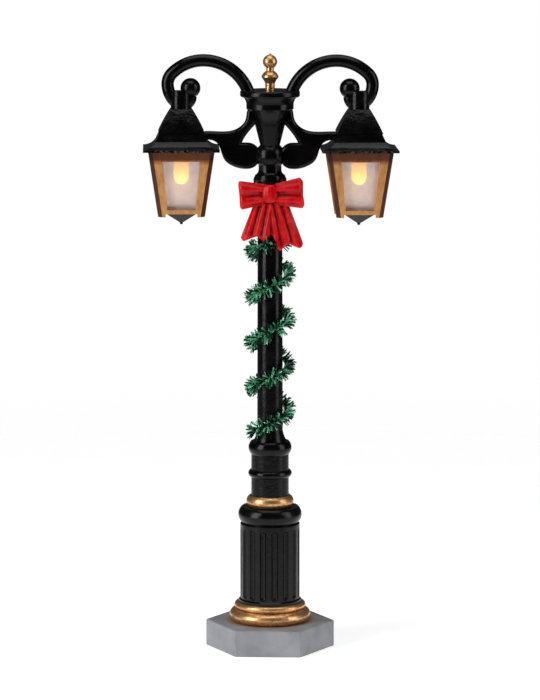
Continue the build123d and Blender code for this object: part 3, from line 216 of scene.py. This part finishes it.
def copper_paint():
    """Copper brushed over dark brown: full on flat faces, darker on the chamfers, partly their thinner
    paint and partly painted shade, and darker on the top rail as painted shade under the eave.
    """
    made = Finish("copper_paint_finish", Metallic=0.55, Specular_IOR_Level=0.5)
    normal = made.node("ShaderNodeTexCoord").outputs["Normal"]
    across = made.maths("ABSOLUTE", made.axis("X", normal))
    along = made.maths("ABSOLUTE", made.axis("Y", normal))
    # Painted shade in part: the chamfers, and faces turned up or down, get less copper; the rest of their
    # dark is the paint.
    flat = made.span(made.maths("MAXIMUM", across, along), 0.80, 0.97, 0.22, 1.0)
    brush = made.noise(0.8, detail=3, roughness=0.5, stretch=(1.5, 1.5, 0.6))
    # Painted shade: the top rail is darkened as if shaded by the eave.
    top = made.span(made.axis("Z"), frame_top - RAIL_SHADE_FOOT, frame_top - RAIL_SHADE_TOP, 1.0, 0.34)
    # cover carries the brushed copper together with the painted shade of the chamfers and top rail.
    cover = made.maths("MULTIPLY", made.maths("MULTIPLY", flat, top),
                       made.span(brush, 0.30, 0.60, 0.74, 1.0))
    colour = made.ramp(cover, (0.05, (0.022, 0.008, 0.005)), (0.35, (0.20, 0.062, 0.024)),
                       (0.70, (0.60, 0.24, 0.075)), (1.0, (0.86, 0.43, 0.155)))
    made.surface("Base Color", colour)
    made.surface("Roughness", made.span(brush, 0.3, 0.7, 0.48, 0.32))
    made.surface("Normal", made.bump(brush, 0.05))
    return made.material


def stone_paint():
    """Matt grey over a grainy casting, with gold overspray round the foot of the gold ring."""
    made = Finish("stone_paint_finish", Specular_IOR_Level=0.35)
    cloud = made.noise(0.22, detail=3)
    grain = made.noise(6.0, detail=3, roughness=0.7)
    tone = made.maths("ADD", made.maths("MULTIPLY", cloud, 0.7), made.maths("MULTIPLY", grain, 0.3))
    grey = made.ramp(tone, (0.34, (0.215, 0.225, 0.245)), (0.64, (0.325, 0.335, 0.355)))
    out = made.scaled(made.place, (1, 1, 0))
    length = made.node("ShaderNodeVectorMath", operation="LENGTH")
    made.feed(length.inputs[0], out)
    fringe = made.span(made.noise(1.6, detail=3), 0.3, 0.7, -SPILL_RAGGED, SPILL_RAGGED)
    ragged = made.maths("ADD", length.outputs["Value"], fringe)
    near_ring = made.span(ragged, ring_radius + SPILL_START, ring_radius + SPILL_END, 0.75, 0.0)
    on_top = made.span(made.axis("Z"), plinth_top - PLINTH_TOP_BAND, plinth_top - PLINTH_TOP_EDGE)
    spill = made.maths("MULTIPLY", near_ring, on_top)
    made.surface("Base Color", made.mix(spill, grey, (0.30, 0.155, 0.06)))
    made.surface("Roughness", made.span(grain, 0.3, 0.7, 0.55, 0.72))
    made.surface("Normal", made.bump(grain, 0.03, made.bump(cloud, 0.08)))
    return made.material


def red_enamel():
    """Deep gloss red under a clear coat, with painted shade in the folds and painted highlights on the
    ridges.
    """
    made = Finish("red_enamel_finish", Specular_IOR_Level=0.16, Coat_Weight=0.08, Coat_Roughness=0.10)
    cloud = made.noise(0.8, detail=3)
    fold_shade_and_highlight = made.node("ShaderNodeAttribute", attribute_name="fold_shade_and_highlight").outputs["Fac"]
    # Painted shade and painted highlight: darker red where the surface sinks into a crease, lighter where
    # it stands out on a ridge.
    depth = made.maths("ADD", fold_shade_and_highlight, made.span(cloud, 0.3, 0.7, -0.12, 0.12))
    made.surface("Base Color", made.ramp(depth, (0.15, (0.13, 0.0005, 0.002)),
                                         (0.42, (0.44, 0.001, 0.003)),
                                         (0.60, (0.66, 0.002, 0.006)),
                                         (0.85, (0.80, 0.016, 0.022))))
    made.surface("Roughness", made.span(cloud, 0.3, 0.7, 0.20, 0.30))
    made.surface("Normal", made.bump(made.noise(2.6, detail=2), 0.03))
    return made.material


def green_foil():
    """Metallic foil, each strand given its own random tone, from painted shade up to a painted pale mint
    glint.
    """
    made = Finish("green_foil_finish", Metallic=0.35, Specular_IOR_Level=0.6)
    tone = made.node("ShaderNodeAttribute", attribute_name="tone").outputs["Fac"]
    crease = made.noise(4.0, detail=2)
    mixed = made.maths("ADD", tone, made.span(crease, 0.3, 0.7, -0.08, 0.08))
    # Painted shade and painted glint: the near-black stop stands for strands in shade, the pale mint stop
    # for strands catching the light.
    made.surface("Base Color", made.ramp(mixed, (0.10, (0.001, 0.006, 0.004)),
                                         (0.42, (0.002, 0.055, 0.022)),
                                         (0.62, (0.012, 0.28, 0.11)),
                                         (0.78, (0.36, 0.92, 0.60))))
    made.surface("Roughness", made.span(tone, 0.0, 1.0, 0.42, 0.22))
    made.surface("Normal", made.bump(crease, 0.03))
    return made.material


def frosted_glazing():
    """Milky plastic panes: seen through a little, with a warm bloom near the lamp."""
    made = Finish("frosted_glazing_finish", Specular_IOR_Level=0.5, Alpha=0.42, Emission_Strength=0.16)
    cloud = made.noise(0.5, detail=3)
    made.surface("Base Color", made.ramp(cloud, (0.3, (0.60, 0.56, 0.63)), (0.7, (0.76, 0.72, 0.79))))
    made.surface("Roughness", made.span(made.noise(3.0), 0.3, 0.7, 0.34, 0.50))
    made.surface("Normal", made.bump(made.noise(1.8, detail=2), 0.02))
    across = made.maths("ABSOLUTE", made.axis("X"))
    offset = made.node("ShaderNodeCombineXYZ")
    made.feed(offset.inputs[0], made.maths("SUBTRACT", across, lamp_x))
    made.feed(offset.inputs[2], made.maths("SUBTRACT", made.axis("Z"), lamp_tip_z + BLOOM_DROP))
    reach = made.node("ShaderNodeVectorMath", operation="LENGTH")
    made.feed(reach.inputs[0], offset.outputs[0])
    made.surface("Emission Color", made.ramp(
        made.span(reach.outputs["Value"], 0.0, BLOOM_REACH),
        (0.0, (1.0, 0.56, 0.14)), (0.35, (0.50, 0.22, 0.07)), (0.7, (0.05, 0.03, 0.02))))
    return made.material


def led_epoxy():
    """A lit warm diode: bright yellow at the dome, amber up the body."""
    made = Finish("led_epoxy_finish", Specular_IOR_Level=0.5, Emission_Strength=2.6)
    cloud = made.noise(1.5, detail=2)
    made.surface("Base Color", made.ramp(cloud, (0.3, (0.9, 0.55, 0.16)), (0.7, (1.0, 0.72, 0.30))))
    made.surface("Roughness", made.span(cloud, 0.3, 0.7, 0.15, 0.28))
    height = made.span(made.axis("Z"), lamp_tip_z, lamp_tip_z + LAMP_GLOW_LENGTH)
    made.surface("Emission Color", made.ramp(height, (0.0, (1.0, 0.76, 0.14)), (0.35, (1.0, 0.54, 0.05)),
                                             (0.8, (0.40, 0.17, 0.02))))
    return made.material


def moulded(name, dark, light, rough_low, rough_high, grain_per_mm=3.0, metallic=0.0):
    """A plain moulded, drawn or dipped material with a mottle and a fine grain."""
    made = Finish(name, Specular_IOR_Level=0.5, Metallic=metallic)
    cloud = made.noise(0.6, detail=3)
    grain = made.noise(grain_per_mm, detail=2)
    made.surface("Base Color", made.ramp(cloud, (0.3, dark), (0.7, light)))
    made.surface("Roughness", made.span(grain, 0.3, 0.7, rough_low, rough_high))
    made.surface("Normal", made.bump(grain, 0.02))
    return made.material


ring_radius = low_high("base_ring")[1].x
plinth_top = low_high("plinth")[1].z
frame_top = low_high("lantern_frame_right")[1].z
lamp_x = middle("led_right").x
lamp_tip_z = low_high("led_right")[0].z
eave_foot = low_high("lantern_roof_right")[0].z

BLACK = black_enamel("black_enamel_finish", 0.05, False)
ROOF_BLACK = black_enamel("black_enamel_roof_finish", 0.12, True)
RED = red_enamel()
FOIL = green_foil()
WIRE = moulded("garland_wire_finish",
               (0.10, 0.11, 0.10), (0.30, 0.32, 0.30), 0.30, 0.45, metallic=0.9)
SLOT_FINISH = {
    "black_enamel": BLACK,
    "gold_paint": gold_paint(),
    "copper_paint": copper_paint(),
    "grey_stone_paint": stone_paint(),
    "red_enamel": RED,
    "green_foil": FOIL,
    "garland_wire": WIRE,
    "frosted_glazing": frosted_glazing(),
    "led_epoxy": led_epoxy(),
    "white_plastic": moulded("white_plastic_finish",
                             (0.62, 0.60, 0.55), (0.78, 0.76, 0.70), 0.40, 0.55),
    "black_plastic": moulded("black_plastic_finish",
                             (0.012, 0.012, 0.013), (0.030, 0.030, 0.032), 0.45, 0.62, 5.0),
    "black_rubber": moulded("black_rubber_finish",
                            (0.010, 0.010, 0.010), (0.026, 0.025, 0.024), 0.60, 0.80, 6.0),
    "heat_shrink": moulded("heat_shrink_finish",
                           (0.010, 0.010, 0.012), (0.022, 0.022, 0.026), 0.40, 0.55),
    "wire_insulation": moulded("wire_insulation_finish",
                               (0.14, 0.010, 0.008), (0.22, 0.018, 0.012), 0.35, 0.50),
}
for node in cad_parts.values():
    for place in node.material_slots:
        place.material = SLOT_FINISH[place.material.name.split(".")[0]]
for roof in ("lantern_roof_left", "lantern_roof_right"):
    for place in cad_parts[roof].material_slots:
        place.material = ROOF_BLACK


# ---------------------------------------------------------------- helpers for meshes
def new_piece(name, points, faces, finish):
    """A piece of the object from points in millimetres, riding on the one body."""
    mesh = bpy.data.meshes.new(name)
    mesh.from_pydata([Vector(point) * MM for point in points], [], faces)
    mesh.materials.append(finish)
    mesh.shade_smooth()
    piece = bpy.data.objects.new(name, mesh)
    bpy.context.scene.collection.objects.link(piece)
    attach(piece, BODY)
    return piece


def between(stops, value):
    """Linear interpolation of tuples along sorted (value, tuple) stops."""
    for (start, first), (end, second) in zip(stops, stops[1:]):
        if value <= end:
            share = (value - start) / (end - start)
            return tuple(a + (b - a) * share for a, b in zip(first, second))
    return stops[-1][1]


# ---------------------------------------------------------------- bow
BOW_VOXEL = 0.10
SOFTEN_PASSES = 12
LOBE_STEPS = 48
LOBE_TIP_SHARE = 0.14
LOBE_ROOT_SHARE = 0.08
LOBE_EDGE_POWER = 3.5
KNOT_RINGS = 24
KNOT_SIDES = 96
KNOT_BULGE_POWER = 0.55
FOLD_PASSES = 14
FOLD_PER_MM = 5.0
bow_high = low_high("bow")[1]


def lobe(points, faces, near, far, depth, swell, ridges):
    """Adds a closed, puffed ribbon form.

    near and far are stops of (x, z) across the ribbon at its two ends, measured from the
    middle of the bow's top and back.  depth gives how far its middle stands forward at
    both ends, swell its half thickness at both ends, and ridges is (count, height near,
    height far, phase).
    """
    count, rise_near, rise_far, phase = ridges
    base = len(points)
    grid = LOBE_STEPS + 1
    for side in (-1, 1):
        for step in range(grid):
            u = step / LOBE_STEPS
            past_tip = max(0.0, (u - 1 + LOBE_TIP_SHARE) / LOBE_TIP_SHARE)
            before_root = max(0.0, (LOBE_ROOT_SHARE - u) / LOBE_ROOT_SHARE)
            end = math.sqrt(max(0.0, 1 - past_tip ** 2)) * math.sqrt(max(0.0, 1 - before_root ** 2))
            thick = (swell[0] + (swell[1] - swell[0]) * u) * end
            centre = depth[0] + (depth[1] - depth[0]) * u
            for cross in range(grid):
                v = -1 + 2 * cross / LOBE_STEPS
                edge = math.sqrt(max(0.0, 1 - abs(v) ** LOBE_EDGE_POWER))
                start, stop = between(near, v), between(far, v)
                x = start[0] + (stop[0] - start[0]) * u
                z = start[1] + (stop[1] - start[1]) * u
                half = thick * edge
                if side < 0:
                    rise = rise_near + (rise_far - rise_near) * u
                    half += rise * edge * end * math.cos(math.pi * count * v + phase)
                points.append((x, bow_high.y - centre + side * half, bow_high.z + z))
    front, back = base, base + grid * grid
    for step in range(LOBE_STEPS):
        for cross in range(LOBE_STEPS):
            a = step * grid + cross
            quad = (a, a + 1, a + grid + 1, a + grid)
            faces.append(tuple(front + i for i in quad))
            faces.append(tuple(back + i for i in reversed(quad)))
    rim = list(range(grid))
    rim += [i * grid + LOBE_STEPS for i in range(1, grid)]
    rim += [LOBE_STEPS * grid + i for i in range(LOBE_STEPS - 1, -1, -1)]
    rim += [i * grid for i in range(LOBE_STEPS - 1, 0, -1)]
    for a, b in zip(rim, rim[1:] + rim[:1]):
        faces.append((front + b, front + a, back + a, back + b))


def knot(points, faces, centre, size, ribs, rise):
    """Adds the barrel of ribbon round the middle, ribbed from top to bottom."""
    base = len(points)
    middle_y, middle_z = bow_high.y - centre[1], bow_high.z + centre[2]
    for ring in range(1, KNOT_RINGS):
        tilt = math.pi * ring / KNOT_RINGS
        for side in range(KNOT_SIDES):
            turn = 2 * math.pi * side / KNOT_SIDES
            bulge = math.sin(tilt) ** KNOT_BULGE_POWER
            rib = 1 + rise * math.cos(ribs * turn) * math.sin(tilt)
            points.append((centre[0] + size[0] * bulge * rib * math.sin(turn),
                           middle_y - size[1] * bulge * rib * math.cos(turn),
                           middle_z + size[2] * math.cos(tilt)))
    for pole in (1, -1):
        points.append((centre[0], middle_y, middle_z + pole * size[2]))
    top, bottom = len(points) - 2, len(points) - 1
    for ring in range(KNOT_RINGS - 2):
        row = base + ring * KNOT_SIDES
        for side in range(KNOT_SIDES):
            a, b = row + side, row + (side + 1) % KNOT_SIDES
            faces.append((a, b, b + KNOT_SIDES, a + KNOT_SIDES))
    last = base + (KNOT_RINGS - 2) * KNOT_SIDES
    for side in range(KNOT_SIDES):
        after = (side + 1) % KNOT_SIDES
        faces.append((top, base + after, base + side))
        faces.append((bottom, last + side, last + after))


def mark_folds(mesh):
    """Writes how far each point stands above (1) or below (0) the surface round it, as the map for the
    bow's painted shade and painted highlights.
    """
    neighbours = [[] for point in mesh.vertices]
    for edge in mesh.edges:
        first, second = edge.vertices
        neighbours[first].append(second)
        neighbours[second].append(first)
    relaxed = [point.co.copy() for point in mesh.vertices]
    for sweep in range(FOLD_PASSES):
        relaxed = [sum((relaxed[i] for i in near), Vector()) / len(near) for near in neighbours]
    heights = [(point.co - smooth).dot(point.normal) / MM
               for point, smooth in zip(mesh.vertices, relaxed)]
    layer = mesh.attributes.new("fold_shade_and_highlight", "FLOAT", "POINT")
    layer.data.foreach_set("value", [min(1.0, max(0.0, 0.5 + height * FOLD_PER_MM)) for height in heights])


def bow_piece():
    """Two puffed loops, two tails and a knot, joined into one moulding."""
    points, faces = [], []
    loop = {"depth": (1.29, 1.44), "swell": (0.62, 1.12), "ridges": (2, 0.42, 0.20, math.pi)}
    tail = {"depth": (0.79, 0.94), "swell": (0.52, 0.64), "ridges": (3, 0.30, 0.22, 0.0)}
    lobe(points, faces, near=((-1, (-0.7, -1)), (1, (-0.7, -5.15))),
         far=((-1, (-6.0, -0.4)), (-0.75, (-6.2, -0.95)), (0, (-5.95, -3.45)),
              (0.8, (-5.85, -5.65)), (1, (-5.5, -6.2))), **loop)
    lobe(points, faces, near=((-1, (0.9, -1)), (1, (0.9, -5.15))),
         far=((-1, (6.1, 0.4)), (-0.8, (6.75, -0.45)), (0, (6.75, -3.05)),
              (0.8, (7.05, -5.15)), (1, (6.65, -5.9))), **loop)
    lobe(points, faces, near=((-1, (-3.1, -4.85)), (1, (1.1, -4.85))),
         far=((-1, (-5.8, -11.8)), (-0.8, (-5.25, -12.6)), (0, (-2.5, -11.55)),
              (0.6, (-1.0, -12.7)), (1, (0.45, -11.05))), **tail)
    lobe(points, faces, near=((-1, (-0.6, -4.85)), (1, (3.8, -4.85))),
         far=((-1, (0.5, -11.05)), (-0.62, (1.8, -14.25)), (-0.5, (2.2, -14.5)), (0, (3.75, -13.05)),
              (0.75, (6.05, -13.95)), (0.88, (6.6, -13.6)), (1, (6.8, -12.85))), **tail)
    knot(points, faces, centre=(0.15, 1.59, -2.95), size=(1.6, 1.2, 1.85), ribs=7, rise=0.035)
    mesh = bpy.data.meshes.new("bow_rough")
    mesh.from_pydata(points, [], faces)
    rough = bpy.data.objects.new("bow_rough", mesh)
    bpy.context.scene.collection.objects.link(rough)
    remesh = rough.modifiers.new("Join", "REMESH")
    remesh.mode = "VOXEL"
    remesh.voxel_size = BOW_VOXEL
    soften = rough.modifiers.new("Soften", "SMOOTH")
    soften.factor = 0.5
    soften.iterations = SOFTEN_PASSES
    evaluated = rough.evaluated_get(bpy.context.evaluated_depsgraph_get())
    joined = bpy.data.meshes.new_from_object(evaluated)
    bpy.data.objects.remove(rough)
    joined.transform(Matrix.Scale(MM, 4))
    joined.name = "bow_ribbon"
    joined.materials.clear()
    joined.materials.append(RED)
    joined.shade_smooth()
    mark_folds(joined)
    piece = bpy.data.objects.new("bow_ribbon", joined)
    bpy.context.scene.collection.objects.link(piece)
    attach(piece, BODY)
    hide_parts("bow")


bow_piece()


# ---------------------------------------------------------------- garland
PITCH = 9.2
START_ANGLE = math.radians(190)
WIRE_END = 0.22
EXTRA_CLIMB = 1.2
LEVEL_END = 2.2
TWIST_PITCH = 1.3
TWIST_RADIUS = 0.10
TWIST_WIRE_RADIUS = 0.11
TWIST_STEPS = 900
TWIST_SIDES = 8
STRANDS = 1700
STRAND_SECTIONS = 3
STRAND_ROOT = 0.1
STRAND_HALF_THICKNESS = 0.025
STRAND_TAPER = 0.35
FAN_DEGREES = 100
BOW_HEM_GAP = 0.1
TAILS_BACK = 0.21
TAILS_FRONT = 1.79
wire_low, wire_high = low_high("garland_wire")
HELIX_RADIUS = wire_high.x - WIRE_END
HELIX_FOOT = wire_low.z + WIRE_END
CLIMB = wire_high.z - wire_low.z - 2 * WIRE_END + EXTRA_CLIMB
HELIX_RISE = CLIMB + LEVEL_END
# Lower edge of the bow's tails, as (x, z below the bow's top)
TAIL_HEMS = ((-9, -11.75), (-5.8, -11.8), (-5.25, -12.6), (-2.5, -11.55), (-1, -12.7), (0.45, -11.05),
             (1.8, -14.25), (2.2, -14.5), (3.75, -13.05), (6.05, -13.95), (9, -12.85))


def under_bow(spot):
    """True if a point is where the bow's tails hang in front of the shaft."""
    hem = bow_high.z + between([(x, (z,)) for x, z in TAIL_HEMS], spot.x)[0]
    in_depth = bow_high.y - TAILS_FRONT < spot.y < bow_high.y + TAILS_BACK
    return in_depth and spot.z > hem - BOW_HEM_GAP


def helix(height):
    """(outward, along, centre) of the garland's core at that height above its foot.

    Past the climb it runs on level, under the bow.
    """
    angle = START_ANGLE + 2 * math.pi * height / PITCH
    out = Vector((math.cos(angle), math.sin(angle), 0))
    sideways = Vector((-math.sin(angle), math.cos(angle), 0)) * HELIX_RADIUS
    along = sideways + Vector((0, 0, PITCH / (2 * math.pi)))
    centre = out * HELIX_RADIUS + Vector((0, 0, HELIX_FOOT + min(height, CLIMB)))
    return out, along.normalized(), centre


def twisted_wire():
    """Two fine wires twisted together, as the core that grips the foil."""
    points, faces = [], []
    turn = math.hypot(2 * math.pi * HELIX_RADIUS, PITCH) / PITCH
    for start in (0.0, math.pi):
        base = len(points)
        for step in range(TWIST_STEPS + 1):
            height = HELIX_RISE * step / TWIST_STEPS
            out, along, centre = helix(height)
            up = along.cross(out)
            lay = start + 2 * math.pi * height * turn / TWIST_PITCH
            axis = centre + (out * math.cos(lay) + up * math.sin(lay)) * TWIST_RADIUS
            for side in range(TWIST_SIDES):
                angle = 2 * math.pi * side / TWIST_SIDES
                spoke = out * math.cos(angle) + up * math.sin(angle)
                points.append(axis + spoke * TWIST_WIRE_RADIUS)
        for step in range(TWIST_STEPS):
            for side in range(TWIST_SIDES):
                a = base + step * TWIST_SIDES + side
                b = base + step * TWIST_SIDES + (side + 1) % TWIST_SIDES
                faces.append((a, b, b + TWIST_SIDES, a + TWIST_SIDES))
        faces.append(tuple(base + side for side in reversed(range(TWIST_SIDES))))
        faces.append(tuple(base + TWIST_STEPS * TWIST_SIDES + side for side in range(TWIST_SIDES)))
    piece = new_piece("garland_wire_twist", points, faces, WIRE)
    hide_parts("garland_wire")


def tinsel():
    """Short foil strands caught in the twisted wire, fanned out and away from the shaft."""
    draw = random.Random(41)
    points, faces, tones = [], [], []
    for strand in range(STRANDS):
        height = HELIX_RISE * (strand + draw.random()) / STRANDS
        out, along, centre = helix(height)
        up = along.cross(out)
        fan = math.radians(draw.triangular(-FAN_DEGREES, FAN_DEGREES, 0))
        lean = draw.gauss(0, 0.35)
        way = (out * math.cos(fan) + up * math.sin(fan) + along * lean).normalized()
        length = draw.uniform(1.4, 2.2)
        half_width = draw.uniform(0.15, 0.24)
        loose = Vector((draw.gauss(0, 1), draw.gauss(0, 1), draw.gauss(0, 1)))
        side = way.cross(loose).normalized()
        curl = way.cross(side) * draw.uniform(-0.35, 0.35)
        twist = draw.uniform(-0.7, 0.7)
        # The strand's tone places it between painted shade and painted glint in the foil finish.
        tone = draw.random()
        start = centre + out * STRAND_ROOT
        if any(under_bow(start + way * length * share) for share in (0, 0.5, 1)):
            continue
        base = len(points)
        for section in range(STRAND_SECTIONS):
            share = section / (STRAND_SECTIONS - 1)
            spot = start + way * (STRAND_ROOT + length * share) + curl * share * share
            turned = side * math.cos(twist * share) + way.cross(side) * math.sin(twist * share)
            reach = turned * half_width * (1 - STRAND_TAPER * share)
            face = way.cross(turned) * STRAND_HALF_THICKNESS
            for across, through in ((-1, -1), (1, -1), (1, 1), (-1, 1)):
                points.append(spot + reach * across + face * through)
        for section in range(STRAND_SECTIONS - 1):
            for corner in range(4):
                a, b = base + section * 4 + corner, base + section * 4 + (corner + 1) % 4
                faces.append((a, b, b + 4, a + 4))
        faces.append((base + 3, base + 2, base + 1, base))
        faces.append(tuple(base + (STRAND_SECTIONS - 1) * 4 + corner for corner in range(4)))
        tones += [tone] * (STRAND_SECTIONS * 4)
    piece = new_piece("garland_tinsel_foil", points, faces, FOIL)
    piece.data.shade_flat()
    layer = piece.data.attributes.new("tone", "FLOAT", "POINT")
    layer.data.foreach_set("value", tones)
    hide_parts("garland_tinsel")


twisted_wire()
tinsel()


# ---------------------------------------------------------------- floor, light and camera
FLOOR_RADIUS = 0.45
FLOOR_RINGS = 24
FLOOR_SIDES = 96
FLOOR_Z = -0.05 * MM
PAPER_SOLID_MM = 70.0
PAPER_GONE_MM = 330.0
AIM_HEIGHT = 0.07
GLOW_WATTS = 0.0006
GLOW_RADIUS = 1.2 * MM
GLOW_BELOW_LAMP = 1.6 * MM


def floor_piece():
    """Pale paper that fades into the pale room round it."""
    points = [(0.0, 0.0, FLOOR_Z)]
    for ring in range(1, FLOOR_RINGS + 1):
        out = FLOOR_RADIUS * ring / FLOOR_RINGS
        for side in range(FLOOR_SIDES):
            turn = 2 * math.pi * side / FLOOR_SIDES
            points.append((out * math.cos(turn), out * math.sin(turn), FLOOR_Z))
    faces = [(0, 1 + side, 1 + (side + 1) % FLOOR_SIDES) for side in range(FLOOR_SIDES)]
    for ring in range(FLOOR_RINGS - 1):
        row = 1 + ring * FLOOR_SIDES
        for side in range(FLOOR_SIDES):
            a, b = row + side, row + (side + 1) % FLOOR_SIDES
            faces.append((a, a + FLOOR_SIDES, b + FLOOR_SIDES, b))
    mesh = bpy.data.meshes.new("studio_floor")
    mesh.from_pydata(points, [], faces)
    made = Finish("studio_paper", Roughness=0.9, Specular_IOR_Level=0.1, Emission_Strength=0.55,
                  Emission_Color=(1, 1, 1, 1))
    cloud = made.noise(0.05)
    made.surface("Base Color", made.ramp(cloud, (0.3, (0.86, 0.86, 0.86)), (0.7, (0.90, 0.90, 0.90))))
    reach = made.node("ShaderNodeVectorMath", operation="LENGTH")
    made.feed(reach.inputs[0], made.place)
    made.surface("Alpha", made.span(reach.outputs["Value"], PAPER_SOLID_MM, PAPER_GONE_MM, 1.0, 0.0))
    mesh.materials.append(made.material)
    floor = bpy.data.objects.new("studio_floor", mesh)
    bpy.context.scene.collection.objects.link(floor)


def aimed(obj, place, target):
    """Puts a light or camera in the scene at a place, looking at a target."""
    obj.location = place
    obj.rotation_mode = "QUATERNION"
    obj.rotation_quaternion = (Vector(target) - Vector(place)).to_track_quat("-Z", "Y")
    bpy.context.scene.collection.objects.link(obj)


def softbox(name, place, size, power):
    """A rectangular area light, aimed at the middle of the post."""
    light = bpy.data.lights.new(name, "AREA")
    light.shape = "RECTANGLE"
    light.size, light.size_y = size
    light.energy = power
    aimed(bpy.data.objects.new(name, light), place, (0, 0, AIM_HEIGHT))


def lantern_glow(name, node):
    """The warm light that a diode throws on the inside of its lantern."""
    low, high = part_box(node)
    light = bpy.data.lights.new(name, "POINT")
    light.energy = GLOW_WATTS
    light.color = (1.0, 0.60, 0.22)
    light.shadow_soft_size = GLOW_RADIUS
    lamp = bpy.data.objects.new(name, light)
    lamp.location = ((low.x + high.x) / 2, (low.y + high.y) / 2, low.z - GLOW_BELOW_LAMP)
    bpy.context.scene.collection.objects.link(lamp)


def world_light():
    """Pale all round for the camera; for everything else the front of the room is dark."""
    world = bpy.data.worlds.new("studio")
    bpy.context.scene.world = world
    world.use_nodes = True
    tree = world.node_tree
    room = tree.nodes["Background"]
    seen = tree.nodes.new("ShaderNodeBackground")
    seen.inputs["Color"].default_value = (1, 1, 1, 1)
    coordinates = tree.nodes.new("ShaderNodeTexCoord")
    parts = tree.nodes.new("ShaderNodeSeparateXYZ")
    tree.links.new(coordinates.outputs["Generated"], parts.inputs[0])
    shade = tree.nodes.new("ShaderNodeMapRange")
    tree.links.new(parts.outputs["Y"], shade.inputs[0])
    for socket, number in zip(list(shade.inputs)[1:5], (-0.35, 0.75, 0.03, 0.90)):
        socket.default_value = number
    tree.links.new(shade.outputs[0], room.inputs["Strength"])
    path = tree.nodes.new("ShaderNodeLightPath")
    choose = tree.nodes.new("ShaderNodeMixShader")
    tree.links.new(path.outputs["Is Camera Ray"], choose.inputs[0])
    tree.links.new(room.outputs[0], choose.inputs[1])
    tree.links.new(seen.outputs[0], choose.inputs[2])
    tree.links.new(choose.outputs[0], tree.nodes["World Output"].inputs[0])


def camera():
    """Slightly above the middle of the post, in front and a little to the right."""
    lens, place, target = 185.0, (0.027, -0.714, 0.165), (0.0, 0.0, 0.0605)
    data = bpy.data.cameras.new("camera")
    data.lens = lens
    data.clip_start, data.clip_end = 0.01, 20
    viewer = bpy.data.objects.new("camera", data)
    aimed(viewer, place, target)
    bpy.context.scene.camera = viewer


floor_piece()
softbox("key_left", (-0.42, -0.30, 0.22), (0.26, 0.50), 2.1)
softbox("fill_right", (0.46, -0.14, 0.20), (0.22, 0.50), 0.9)
softbox("top", (0.0, -0.05, 0.70), (0.60, 0.60), 2.2)
lantern_glow("glow_left", "led_left")
lantern_glow("glow_right", "led_right")
world_light()
camera()
bpy.context.scene.view_settings.view_transform = "Standard"
